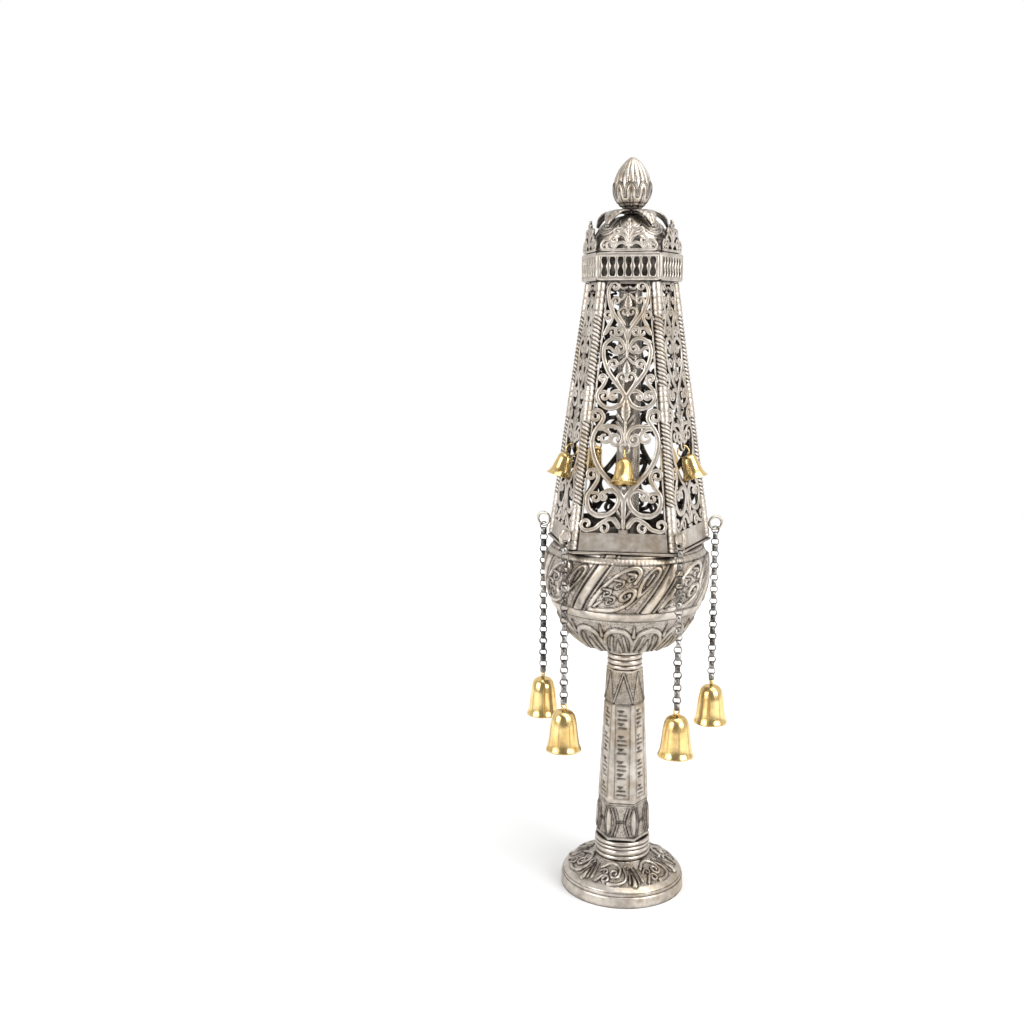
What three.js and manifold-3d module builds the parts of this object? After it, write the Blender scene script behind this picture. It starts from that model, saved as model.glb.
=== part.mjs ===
// Torah finial in silver: a stave socket on a round foot, a knop, a five-sided openwork tower
// with a bell in each panel, a bell on a chain at each corner, and a small dome with a bud.
// Millimetres, +Z up. The origin is the middle of the foot's underside; the front panel faces -Y.
import * as THREE from 'three';
import { mergeVertices, mergeGeometries } from 'three/addons/utils/BufferGeometryUtils.js';
import Module from 'manifold-3d';

const wasm = await Module();
wasm.setup();

// ---------------------------------------------------------------- driving dimensions
const SIDES = 5;                     // of the tower, its gallery and its base plate
const TURN = 2 * Math.PI / SIDES;
const GAP = 0.3;                     // left between neighbouring pieces

const FOOT_RADIUS = 34.4;
const FOOT_HEIGHT = 18;
const FOOT_RIM_WIDTH = 2.8;          // the flat ring that the finial stands on
const SHEET = 1.5;                   // wall of the raised work

const LOWER_COLLAR_TOP = 29;
const SHAFT_TOP = 126.5;
const SHAFT_HALF_BOTTOM = 13.0;      // across the flats, halved
const SHAFT_HALF_TOP = 8.9;
const SHAFT_BAND = 50.5;             // height of the ring line round the shaft
const UPPER_COLLAR_TOP = 137.8;
const KNOP_TOP = 196.4;
const KNOP_RADIUS = 44.4;
const KNOP_LOBES = 8;

const PLATE_BASE = 196.7;
const PLATE_THICK = 1.4;
const PLATE_RADIUS = 47.6;           // to the corners

const TOWER_BASE = PLATE_BASE + PLATE_THICK + GAP;
const TOWER_TOP = 336.0;
const POST_CIRCLE_BOTTOM = 44.4;     // radius of the circle through the post centres
const POST_CIRCLE_TOP = 23.4;
const POST_RADIUS = 2.5;
const PANEL_THICK = 1.7;
const PANEL_BAND = 9.2;              // plain band along a panel's foot
const PANEL_RAIL = 1.5;
const TUBE_RADIUS = 6.2;

const GALLERY_BASE = TOWER_TOP + GAP;
const GALLERY_TOP = 350.5;
const GALLERY_RADIUS = 28.5;         // to the corners
const GALLERY_WALL = 1.4;
const GALLERY_OPENINGS = 7;          // along one side
const CREST_HEIGHT = 17;
const CREST_HALF = 14.6;
const CREST_THICK = 1.5;

const DRUM_RADIUS = 19;
const DRUM_TOP = 357.6;
const DOME_TOP = 370.2;
const ROSETTE_TOP = 372.6;
const LEAF_REACH = 20;
const BUD_RADIUS = 10.2;
const BUD_FLUTES = 8;
const TOP = 400;

const CORNER_RING = { radius: 3.3, wire: 0.6, height: 206 };
const LINK = { width: 4.8, wire: 0.6, pitch: 7.25, count: 12 };
const OUTER_BELL = { radius: 10, height: 22, wall: 0.9, loop: 2.3, wire: 0.55 };
const INNER_BELL = { radius: 7.2, height: 12.8, wall: 0.8, loop: 3.6, wire: 0.45 };
const TAB = { height: 52.6, radius: 3.1, hole: 1.75 };
const BELL_LEAN = THREE.MathUtils.degToRad(12);     // of an inner bell, off its panel's slope

// ---------------------------------------------------------------- materials
const metal = (color, roughness) =>
  new THREE.MeshStandardMaterial({ color, roughness, metalness: 1 });
const silver = metal('#b9b3a9', 0.34);
const darkSilver = metal('#8f887d', 0.42);
const oxidised = metal('#55524d', 0.45);
const gilt = metal('#d3a43c', 0.22);

// ---------------------------------------------------------------- closed-mesh helpers
function toManifold(geometry) {
  const bare = geometry.index ? geometry.clone() : mergeVertices(geometry);
  bare.deleteAttribute('normal');
  bare.deleteAttribute('uv');
  const merged = mergeVertices(bare, 1e-4);
  const solid = new wasm.Manifold(new wasm.Mesh({
    numProp: 3,
    vertProperties: merged.attributes.position.array,
    triVerts: Uint32Array.from(merged.index.array),
  }));
  return solid;
}

// Flat neighbouring faces of the result are merged, so a joined plate keeps few triangles.
function toGeometry(solid) {
  const mesh = solid.asOriginal().simplify(0.2).getMesh();
  const geometry = new THREE.BufferGeometry();
  geometry.setAttribute('position', new THREE.BufferAttribute(mesh.vertProperties, 3));
  geometry.setIndex(new THREE.BufferAttribute(mesh.triVerts, 1));
  geometry.computeVertexNormals();
  return geometry;
}

const union = (geometries) =>
  geometries.map(toManifold).reduce((all, next) => all.add(next));

const joined = (geometries) => toGeometry(union(geometries));

// The pieces joined, less the tools, kept within an outer solid where one is given.
function cut(geometries, tools, within) {
  const left = tools.map(toManifold).reduce((rest, tool) => rest.subtract(tool), union(geometries));
  return toGeometry(within ? left.intersect(toManifold(within)) : left);
}

// Six times the signed volume inside a skin: negative when its faces point inwards.
function enclosed(points, faces) {
  let total = 0;
  for (let i = 0; i < faces.length; i += 3) {
    const [a, b, c] = [points[faces[i]], points[faces[i + 1]], points[faces[i + 2]]];
    total += a.dot(b.clone().cross(c));
  }
  return total;
}

// A closed skin over rings of equal point counts. With wrap, the last ring meets the first;
// otherwise a fan closes each end.
function ringSkin(rings, wrap = false) {
  const count = rings[0].length;
  const points = rings.flat();
  const faces = [];
  const at = (ring, i) => (ring % rings.length) * count + (i % count);
  const bands = wrap ? rings.length : rings.length - 1;
  for (let ring = 0; ring < bands; ring++) {
    for (let i = 0; i < count; i++) {
      const [a, b, c, d] = [at(ring, i), at(ring, i + 1), at(ring + 1, i + 1), at(ring + 1, i)];
      faces.push(a, b, c, a, c, d);
    }
  }
  if (!wrap) {
    const last = rings.length - 1;
    for (let i = 1; i < count - 1; i++) {
      faces.push(at(0, 0), at(0, i + 1), at(0, i));
      faces.push(at(last, 0), at(last, i), at(last, i + 1));
    }
  }
  if (enclosed(points, faces) < 0) faces.reverse();
  const geometry = new THREE.BufferGeometry().setFromPoints(points);
  geometry.setIndex(faces);
  geometry.computeVertexNormals();
  return geometry;
}

const onCircle = (radius, angle, z) =>
  new THREE.Vector3(radius * Math.sin(angle), -radius * Math.cos(angle), z);

// One ring of points about the Z axis; shape gives the radius for each angle.
const ring = (count, z, shape) =>
  Array.from({ length: count }, (_, i) => {
    const angle = 2 * Math.PI * i / count;
    return onCircle(typeof shape === 'number' ? shape : shape(angle), angle, z);
  });

// A turned piece from [radius, height] pairs that run up its outside.
function turned(profile, sides, wrap = false) {
  return ringSkin(profile.map(([radius, z]) => ring(sides, z, radius)), wrap);
}

// A wire ring in the XZ plane with flats at its top and bottom, and its section's ridge inwards.
function wireRing(width, height, wire, corners, sides) {
  const angles = Array.from({ length: corners }, (_, i) => 2 * Math.PI * (i + 0.5) / corners);
  const widest = Math.max(...angles.map(Math.sin));
  const tallest = Math.max(...angles.map(Math.cos));
  const rings = angles.map((angle) => Array.from({ length: sides }, (_, j) => {
    const around = 2 * Math.PI * j / sides;
    const inset = wire * (1 + Math.cos(around));
    return new THREE.Vector3(
      Math.sin(angle) / widest * (width / 2 - inset), wire * Math.sin(around),
      Math.cos(angle) / tallest * (height / 2 - inset));
  }));
  return ringSkin(rings, true);
}

// A flat outline in the XY plane, as a plate centred on z = 0.
function plate(points, thickness) {
  const shape = new THREE.Shape(points.map(([x, y]) => new THREE.Vector2(x, y)));
  const geometry = new THREE.ExtrudeGeometry(shape, { depth: thickness, bevelEnabled: false });
  return geometry.translate(0, 0, -thickness / 2);
}

// A stem: a ribbon along a smooth curve through [x, y] points, narrowing to its end.
function stem(points, steps, width, endWidth = width * 0.7) {
  const curve = new THREE.SplineCurve(points.map(([x, y]) => new THREE.Vector2(x, y)));
  const left = [];
  const right = [];
  for (let i = 0; i <= steps; i++) {
    const place = curve.getPoint(i / steps);
    const along = curve.getTangent(i / steps);
    const half = THREE.MathUtils.lerp(width, endWidth, i / steps) / 2;
    left.push([place.x - along.y * half, place.y + along.x * half]);
    right.unshift([place.x + along.y * half, place.y - along.x * half]);
  }
  return [...left, ...right];
}

const disc = (x, y, radius, corners) =>
  Array.from({ length: corners }, (_, i) => {
    const angle = 2 * Math.PI * (i + 0.5) / corners;
    return [x + radius * Math.sin(angle), y - radius * Math.cos(angle)];
  }).reverse();

const mirrored = (outline) => outline.map(([x, y]) => [-x, y]).reverse();
const bothSides = (outlines) => [...outlines, ...outlines.map(mirrored)];

// ---------------------------------------------------------------- scene
const finial = new THREE.Group();
const sides = Array.from({ length: SIDES }, (_, side) => {
  const group = new THREE.Group();
  group.rotation.z = side * TURN;
  finial.add(group);
  return group;
});
const corners = Array.from({ length: SIDES }, (_, corner) => {
  const group = new THREE.Group();
  group.rotation.z = (corner + 0.5) * TURN;
  finial.add(group);
  return group;
});

function add(parent, name, geometry, material) {
  const mesh = new THREE.Mesh(geometry, material);
  mesh.name = name;
  parent.add(mesh);
  return mesh;
}

function addToEach(parents, name, geometry, material, place) {
  parents.forEach((parent, i) => place(add(parent, `${name}_${i + 1}`, geometry, material)));
}

// ---------------------------------------------------------------- foot, shaft and collars
// Raised scrollwork swells the foot in cells round it.
function foot() {
  const cells = 6;
  const swell = (height) => (angle) => height * Math.abs(Math.cos(cells / 2 * angle));
  const wall = (radius, z, raise = 0) => ring(18, z, (angle) => radius + swell(raise)(angle));
  const inner = FOOT_RADIUS - FOOT_RIM_WIDTH;
  return ringSkin([
    wall(FOOT_RADIUS, 0),
    wall(FOOT_RADIUS - 0.5, 5.6),
    wall(FOOT_RADIUS - 2.0, 8.4),
    wall(27.5, 11.0, 1.6),
    wall(21.5, 14.2, 1.6),
    wall(16.6, 16.6, 0.5),
    wall(15.2, FOOT_HEIGHT),
    wall(12.2, FOOT_HEIGHT),
    wall(14.5, 15.4),
    wall(24.5, 10.4),
    wall(inner, 5.2),
    wall(inner, 0),
  ], true);
}
add(finial, 'foot', foot(), silver);

function beadedCollar(base, top, radius, bore, beads, count) {
  const profile = [];
  const pitch = (top - base) / beads;
  for (let bead = 0; bead < beads; bead++) {
    const z = base + bead * pitch;
    profile.push([radius - 1.0, z], [radius, z + pitch * 0.3], [radius, z + pitch * 0.7]);
  }
  profile.push([radius - 1.0, top]);
  if (bore) profile.push([bore, top], [bore, base]);
  return turned(profile, count, Boolean(bore));
}
add(finial, 'lower_collar',
  beadedCollar(FOOT_HEIGHT + GAP, LOWER_COLLAR_TOP, 15.5, 11.6, 3, 12), silver);

// Six flat faces, one to the front, tapering upwards; the socket for the stave runs up inside.
function shaft() {
  const base = LOWER_COLLAR_TOP + GAP;
  const half = (z) => THREE.MathUtils.mapLinear(
    z, base, SHAFT_TOP, SHAFT_HALF_BOTTOM, SHAFT_HALF_TOP);
  const toFlat = (angle) => {
    const sixth = Math.PI / 3;
    return Math.abs(angle - Math.round(angle / sixth) * sixth);
  };
  const hexagon = (z, proud = 0) =>
    ring(12, z, (angle) => (half(z) + proud) / Math.cos(toFlat(angle)));
  const band = [-1.6, -1.0, 1.0, 1.6].map((dz, i) =>
    hexagon(SHAFT_BAND + dz, i === 1 || i === 2 ? 0.5 : 0));
  const bore = (z) => ring(12, z, half(z) - SHEET);
  return ringSkin([
    hexagon(base), ...band, hexagon(SHAFT_TOP), bore(SHAFT_TOP), bore(base),
  ], true);
}
add(finial, 'shaft', shaft(), silver);
add(finial, 'upper_collar',
  beadedCollar(SHAFT_TOP + GAP, UPPER_COLLAR_TOP, 9.9, 0, 3, 10), silver);

// The knop: a squat bowl with slanting lobes above its ridge and upright lobes below it.
function knop() {
  const count = 3 * KNOP_LOBES;
  const base = UPPER_COLLAR_TOP + GAP;
  const lean = 0.035;
  const level = (radius, z, raise = 0) => ring(count, z, (angle) =>
    radius + raise * Math.abs(Math.cos(KNOP_LOBES / 2 * (angle - lean * (z - base)))));
  return ringSkin([
    level(12.6, base), level(20.8, 139.4), level(32, 148.5, 0.8), level(37.4, 157),
    level(38.8, 159.5), level(42.6, 169.5, 0.9), level(KNOP_RADIUS - 0.9, 180.0, 0.9),
    level(KNOP_RADIUS - 0.4, 189.2), level(40.6, KNOP_TOP),
  ]);
}
add(finial, 'knop', knop(), silver);

// ---------------------------------------------------------------- tower
const pentagon = (radius, z) => ring(SIDES, z, radius).map((corner) =>
  corner.applyAxisAngle(new THREE.Vector3(0, 0, 1), TURN / 2));

add(finial, 'base_plate', ringSkin([
  pentagon(PLATE_RADIUS, PLATE_BASE), pentagon(PLATE_RADIUS, PLATE_BASE + PLATE_THICK),
]), silver);
add(finial, 'inner_tube', turned([
  [TUBE_RADIUS, TOWER_BASE], [TUBE_RADIUS, TOWER_TOP],
], 12), darkSilver);

// Posts lean inwards with the corners: two lengths of rope twist between turned cushions.
const POST_LENGTH = Math.hypot(TOWER_TOP - TOWER_BASE, POST_CIRCLE_BOTTOM - POST_CIRCLE_TOP);
const POST_LEAN = Math.asin((POST_CIRCLE_BOTTOM - POST_CIRCLE_TOP) / POST_LENGTH);

function post() {
  const sidesRound = 5;
  const rings = [];
  const turnedPart = (pairs) => pairs.forEach(([radius, z]) =>
    rings.push(ring(sidesRound, z, radius * POST_RADIUS)));
  const rope = (from, to, steps) => {
    for (let i = 0; i <= steps; i++) {
      const z = THREE.MathUtils.lerp(from, to, i / steps);
      const twist = i % 2 ? Math.PI / sidesRound : 0;
      rings.push(ring(sidesRound, z, POST_RADIUS * (i % 2 ? 1.06 : 0.92)).map((point) =>
        point.applyAxisAngle(new THREE.Vector3(0, 0, 1), twist)));
    }
  };
  turnedPart([[0.7, 0.1], [0.8, 6], [1.1, 8], [1.1, 15], [0.9, 20]]);
  rope(24, 62, 5);
  turnedPart([[1.1, 64], [0.9, 70], [1.1, 76]]);
  rope(82, 118, 5);
  turnedPart([[1.1, 120], [1.1, 131], [0.9, POST_LENGTH - 2.5]]);
  return ringSkin(rings);
}
addToEach(corners, 'post', post(), silver, (mesh) => {
  mesh.position.set(0, -POST_CIRCLE_BOTTOM, TOWER_BASE);
  mesh.rotation.x = -POST_LEAN;
});

// Panels are drawn flat, x across and y up from the plate, then leaned in with the tower.
const APOTHEM = Math.cos(TURN / 2);
const PANEL_RISE = TOWER_TOP - TOWER_BASE;
const PANEL_LENGTH = Math.hypot(PANEL_RISE, (POST_CIRCLE_BOTTOM - POST_CIRCLE_TOP) * APOTHEM);
const PANEL_LEAN = Math.acos(PANEL_RISE / PANEL_LENGTH);
const PANEL_HALF_BOTTOM = POST_CIRCLE_BOTTOM * Math.sin(TURN / 2) - POST_RADIUS - 1.0;
const PANEL_HALF_TOP = POST_CIRCLE_TOP * Math.sin(TURN / 2) - POST_RADIUS - 1.0;
const panelHalf = (y) => THREE.MathUtils.mapLinear(
  y, 0, PANEL_LENGTH, PANEL_HALF_BOTTOM, PANEL_HALF_TOP);

// A leaf with its tip up, on the panel's axis.
const leaf = (low, tip, half) => {
  const waist = low + (tip - low) * 0.4;
  return [[0, low], [half, waist], [0, tip], [-half, waist]];
};

// The upper motif: a heart of stems over a crossing, and side loops that run up into hooks.
function heartMotif(low, tall, half) {
  const at = (x, y) => [half * x, low + tall * y];
  return [
    stem([at(0, -0.03), at(0.45, 0.22), at(1.02, 0.68), at(0.6, 1), at(0.08, 0.8)], 4, 2.2, 1.7),
    stem([at(0, 0), at(0.6, -0.24), at(1.25, 0), at(0.85, 0.3), at(1.3, 0.42)], 4, 2, 1.7),
  ];
}

function panel() {
  const side = [[panelHalf(0) - PANEL_RAIL, 0], [panelHalf(0), 0],
    [panelHalf(PANEL_LENGTH), PANEL_LENGTH], [panelHalf(PANEL_LENGTH) - PANEL_RAIL, PANEL_LENGTH]];
  const band = [[-panelHalf(0), 0], [panelHalf(0), 0],
    [panelHalf(PANEL_BAND), PANEL_BAND], [-panelHalf(PANEL_BAND), PANEL_BAND]];
  const head = [[-panelHalf(PANEL_LENGTH - 1.6), PANEL_LENGTH - 1.6],
    [panelHalf(PANEL_LENGTH - 1.6), PANEL_LENGTH - 1.6],
    [panelHalf(PANEL_LENGTH), PANEL_LENGTH], [-panelHalf(PANEL_LENGTH), PANEL_LENGTH]];
  const lowerHalf = [
    stem([[1, 10], [7, 16], [14, 12], [20, 11], [22, 15]], 3, 2.3),
    stem([[0.5, 27], [4, 20.5], [12, 17.6], [18.5, 23.5], [13.6, 35], [19, 41]], 5, 2.4, 2),
    stem([[0, 25.4], [8.2, 36.6], [16.2, 48], [16.4, 58], [12, 66.5], [17.5, 70]], 4, 2.6, 2),
    stem([[14.6, 62], [6.5, 63.6], [1.4, 58]], 2, 2, 1.8),
  ];
  const outlines = [
    band, head,
    ...bothSides([side, ...lowerHalf, ...heartMotif(80, 29, 11.6), ...heartMotif(108.6, 29, 9.2)]),
    leaf(6, 28, 4.6), leaf(TAB.height + 1, 81, 5), leaf(84, 112, 2.2), leaf(114, 137, 2.2),
    disc(0, TAB.height, TAB.radius, 6),
  ];
  const blank = [[-panelHalf(0), 0], [panelHalf(0), 0],
    [panelHalf(PANEL_LENGTH), PANEL_LENGTH], [-panelHalf(PANEL_LENGTH), PANEL_LENGTH]];
  return cut(outlines.map((outline) => plate(outline, PANEL_THICK)),
    [plate(disc(0, TAB.height, TAB.hole, 6), PANEL_THICK * 2)], plate(blank, PANEL_THICK));
}
addToEach(sides, 'panel', panel(), silver, (mesh) => {
  mesh.position.set(0, -POST_CIRCLE_BOTTOM * APOTHEM, TOWER_BASE);
  mesh.rotation.x = Math.PI / 2 - PANEL_LEAN;
});

// ---------------------------------------------------------------- gallery, crests and dome
function gallery() {
  const wall = ringSkin([
    pentagon(GALLERY_RADIUS, GALLERY_BASE), pentagon(GALLERY_RADIUS, GALLERY_TOP),
    pentagon(GALLERY_RADIUS - GALLERY_WALL / APOTHEM, GALLERY_TOP),
    pentagon(GALLERY_RADIUS - GALLERY_WALL / APOTHEM, GALLERY_BASE + GALLERY_WALL),
    pentagon(1, GALLERY_BASE + GALLERY_WALL), pentagon(1, GALLERY_BASE),
  ], true);
  const half = GALLERY_RADIUS * Math.sin(TURN / 2) - 2.6;
  const pitch = 2 * half / GALLERY_OPENINGS;
  const openings = [];
  for (let side = 0; side < SIDES; side++) {
    for (let i = 0; i < GALLERY_OPENINGS; i++) {
      const x = -half + (i + 0.5) * pitch;
      const [wide, narrow] = [pitch * 0.36, pitch * 0.26];
      const opening = plate([[x - wide, -4.2], [x + wide, -4.2], [x + narrow, 0], [x + wide, 4.2],
        [x - wide, 4.2], [x - narrow, 0]], 2 * GALLERY_WALL);
      opening.rotateX(Math.PI / 2);
      opening.translate(0, -(GALLERY_RADIUS * APOTHEM - GALLERY_WALL / 2),
        (GALLERY_BASE + GALLERY_TOP) / 2);
      openings.push(opening.rotateZ(side * TURN));
    }
  }
  return cut([wall], openings);
}
add(finial, 'gallery', gallery(), silver);

// A crest of scrolls: two C-scrolls a side, and a stem that parts under a flower.
function crest() {
  const half = bothSides([
    stem([[1, 0.6], [5.5, 3.4], [8, 6.4], [6, 8.2]], 3, 2.0),
    stem([[7.5, 0.6], [11, 3.8], [13.2, 1]], 2, 1.8),
    stem([[0, 6], [3, 10], [7, 9.5]], 2, 1.7),
  ]);
  const outlines = [
    [[-CREST_HALF, 0], [CREST_HALF, 0], [CREST_HALF, 1.4], [-CREST_HALF, 1.4]],
    ...half,
    [[-0.9, 0.5], [0.9, 0.5], [0.9, CREST_HEIGHT - 6], [-0.9, CREST_HEIGHT - 6]],
    disc(0, CREST_HEIGHT - 4.6, 2.9, 6),
    disc(0, CREST_HEIGHT - 1.5, 1.4, 4),
  ];
  return joined(outlines.map((outline) => plate(outline, CREST_THICK)));
}
addToEach(sides, 'crest', crest(), silver, (mesh) => {
  mesh.position.set(0, -(GALLERY_RADIUS * APOTHEM - CREST_THICK / 2 - 0.1), GALLERY_TOP + GAP);
  mesh.rotation.x = Math.PI / 2;
});

function dome() {
  const rise = DOME_TOP - DRUM_TOP;
  const cap = [0.5, 0.84].map((share) =>
    [DRUM_RADIUS * Math.sqrt(1 - share * share), DRUM_TOP + rise * share]);
  return turned([
    [DRUM_RADIUS, GALLERY_BASE + GALLERY_WALL + GAP], [DRUM_RADIUS, DRUM_TOP - 0.6],
    [DRUM_RADIUS + 0.5, DRUM_TOP], ...cap, [4, DOME_TOP],
  ], 16);
}
add(finial, 'dome', dome(), silver);

// Five leaves arch out from under the bud, one over each corner, and droop at their tips.
function leafRosette() {
  const base = DOME_TOP + GAP;
  const hub = turned([[4.2, base], [4.2, ROSETTE_TOP - GAP]], 10);
  const spine = [[2, 1.1, 1.6], [8, 1.6, 3.2], [13.5, 0.9, 4.2], [17.5, -2.2, 3.4],
    [LEAF_REACH, -6.4, 0.5]];
  const leaves = corners.map((_, i) => {
    const rings = spine.map(([reach, rise, half]) => [
      new THREE.Vector3(0, -reach, base + rise - 0.8),
      new THREE.Vector3(half, -reach, base + rise + 0.4),
      new THREE.Vector3(0, -reach, base + rise + 0.5),
      new THREE.Vector3(-half, -reach, base + rise + 0.4),
    ]);
    return ringSkin(rings).rotateZ((i + 0.5) * TURN);
  });
  return joined([hub, ...leaves]);
}
add(finial, 'leaf_rosette', leafRosette(), silver);

function bud() {
  const count = 2 * BUD_FLUTES;
  const tall = TOP - ROSETTE_TOP;
  const level = (share, radius, flute) =>
    ring(count, ROSETTE_TOP + tall * share, (angle) =>
      BUD_RADIUS * (radius + flute * Math.cos(BUD_FLUTES * angle)));
  return ringSkin([
    level(0, 0.4, 0), level(0.14, 0.8, 0.04), level(0.3, 0.96, 0.04), level(0.55, 0.86, 0.06),
    level(0.8, 0.5, 0.05), level(1, 0.05, 0),
  ]);
}
add(finial, 'bud', bud(), silver);

// ---------------------------------------------------------------- rings, chains and bells
const RING_REACH = POST_CIRCLE_BOTTOM
  - (CORNER_RING.height - TOWER_BASE) * Math.tan(POST_LEAN)
  + POST_RADIUS * 1.1 + GAP + CORNER_RING.radius + CORNER_RING.wire;
const cornerRing = wireRing(2 * (CORNER_RING.radius + CORNER_RING.wire),
  2 * (CORNER_RING.radius + CORNER_RING.wire), CORNER_RING.wire, 8, 3).rotateZ(Math.PI / 2);
addToEach(corners, 'corner_ring', cornerRing, silver, (mesh) => {
  mesh.position.set(0, -RING_REACH, CORNER_RING.height);
});

// Links hang one through the next, each turned a quarter turn; they overlap only where they bear.
const LINK_HEIGHT = LINK.pitch + 4 * LINK.wire - 0.12;
function chain() {
  const links = Array.from({ length: LINK.count }, (_, i) =>
    wireRing(LINK.width, LINK_HEIGHT, LINK.wire, 4, 3)
      .rotateZ(i % 2 ? Math.PI / 2 : 0)
      .translate(0, 0, -i * LINK.pitch));
  return joined(links);
}
const CHAIN_TOP = CORNER_RING.height - CORNER_RING.radius + CORNER_RING.wire + GAP
  + 2 * LINK.wire - LINK_HEIGHT / 2;
addToEach(corners, 'chain', chain(), oxidised, (mesh) => {
  mesh.position.set(0, -RING_REACH, CHAIN_TOP);
});

// A bell hangs from z = 0, the top of its crown, with its mouth open below and a loop above.
function bell(size, shape, count, loopTurn, loopBack = 0, loopUp = size.loop - size.wire) {
  const last = shape.length - 1;
  const outside = shape.map(([radius, depth]) => [size.radius * radius, -size.height * depth]);
  const inside = shape.slice(1).map(([radius, depth], i) => [size.radius * radius - size.wall,
    -size.height * depth - (i === 0 ? size.wall : 0)]);
  inside[last - 1][1] = outside[last][1];
  const loop = wireRing(2 * size.loop, 2 * size.loop, size.wire, 6, 3)
    .rotateZ(loopTurn)
    .translate(0, loopBack, loopUp);
  return joined([turned([...inside, ...outside.reverse()], count), loop]);
}
const outerShape = [[0.3, 0], [0.66, 0.13], [0.8, 0.5], [0.86, 0.85], [1, 1]];
const innerShape = [[0.25, 0], [0.55, 0.15], [0.7, 0.65], [1, 1]];

const LAST_LINK_FLOOR = CHAIN_TOP - (LINK.count - 1) * LINK.pitch - LINK_HEIGHT / 2
  + 2 * LINK.wire;
addToEach(corners, 'outer_bell', bell(OUTER_BELL, outerShape, 9, 0), gilt, (mesh) => {
  mesh.position.set(0, -RING_REACH,
    LAST_LINK_FLOOR + GAP + 2 * OUTER_BELL.wire - 2 * OUTER_BELL.loop + 0.4);
});

// The inner bells hang outside the panels. A loop goes through the pierced tab, round the rim
// below the hole, and the bell hangs from the loop's outer lower side.
const LOOP_OUT = 1.2;                // of the loop's middle, in front of the panel's mid-plane
const LOOP_BELOW = 2.9;              // and below the hole
const CROWN_OUT = 2.4;               // of the bell's crown from the loop's middle
const CROWN_BELOW = 2.0;
const loopBack = CROWN_OUT * Math.cos(BELL_LEAN) - CROWN_BELOW * Math.sin(BELL_LEAN);
const loopUp = CROWN_BELOW * Math.cos(BELL_LEAN) + CROWN_OUT * Math.sin(BELL_LEAN);
const innerBell = bell(INNER_BELL, innerShape, 8, Math.PI / 2, loopBack, loopUp);
addToEach(sides, 'inner_bell', innerBell, gilt, (mesh) => {
  const up = TAB.height - LOOP_BELOW - CROWN_BELOW;
  const out = LOOP_OUT + CROWN_OUT;
  mesh.rotation.x = -(PANEL_LEAN + BELL_LEAN);
  mesh.position.set(0,
    up * Math.sin(PANEL_LEAN) - out * Math.cos(PANEL_LEAN) - POST_CIRCLE_BOTTOM * APOTHEM,
    TOWER_BASE + up * Math.cos(PANEL_LEAN) + out * Math.sin(PANEL_LEAN));
});

export default finial;
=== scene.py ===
"""Looks of the torah finial: chased and openwork silver, gilt bells and oxidised chains.

Sizes are in millimetres and angles in radians until a mesh is made, where MM turns them into
metres. Every surface carries two numbers for its material. The first, for tarnish and shade, runs
from 0 on rubbed metal to 1 in a blackened recess, and also holds painted shade on the backs,
undersides and insides of parts. The second, ground, marks the punched background of the chased
work.
"""
import math

import bpy
import numpy as np
from mathutils import Matrix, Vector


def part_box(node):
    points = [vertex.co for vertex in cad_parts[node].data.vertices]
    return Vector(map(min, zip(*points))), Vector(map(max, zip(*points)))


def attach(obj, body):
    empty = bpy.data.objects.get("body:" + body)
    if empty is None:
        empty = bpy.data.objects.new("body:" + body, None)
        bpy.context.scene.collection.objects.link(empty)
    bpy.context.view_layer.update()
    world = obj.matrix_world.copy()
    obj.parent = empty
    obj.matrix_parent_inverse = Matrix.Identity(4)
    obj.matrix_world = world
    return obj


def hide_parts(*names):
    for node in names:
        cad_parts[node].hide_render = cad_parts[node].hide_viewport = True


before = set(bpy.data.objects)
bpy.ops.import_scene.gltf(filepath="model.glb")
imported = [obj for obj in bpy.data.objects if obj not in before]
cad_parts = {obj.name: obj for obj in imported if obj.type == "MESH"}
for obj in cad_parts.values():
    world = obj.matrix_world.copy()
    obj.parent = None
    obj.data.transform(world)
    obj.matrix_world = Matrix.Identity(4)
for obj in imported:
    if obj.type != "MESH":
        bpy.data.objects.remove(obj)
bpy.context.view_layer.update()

MM = 0.001
SIDES = 5
TURN = 2 * math.pi / SIDES
PROFILE_STEP = 0.55      # of a chased surface, up its profile


# ---------------------------------------------------------------- places from the frame
def low(node):
    return np.array(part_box(node)[0]) / MM


def high(node):
    return np.array(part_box(node)[1]) / MM


TOWER_BASE = high("base_plate")[2] + 0.3
TOWER_TOP = low("gallery")[2] - 0.3
POST_CIRCLE_BOTTOM = 44.4
POST_CIRCLE_TOP = 23.4
APOTHEM = math.cos(TURN / 2)
CORNER = 0.5             # corners lie half a turn of a side from the sides' middles
CORNERS = np.array([(math.sin((i + CORNER) * TURN), -math.cos((i + CORNER) * TURN))
                    for i in range(SIDES)])


def turned(sides):
    """A turn about the axis by so many sides."""
    return Matrix.Rotation(sides * TURN, 4, "Z")


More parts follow.
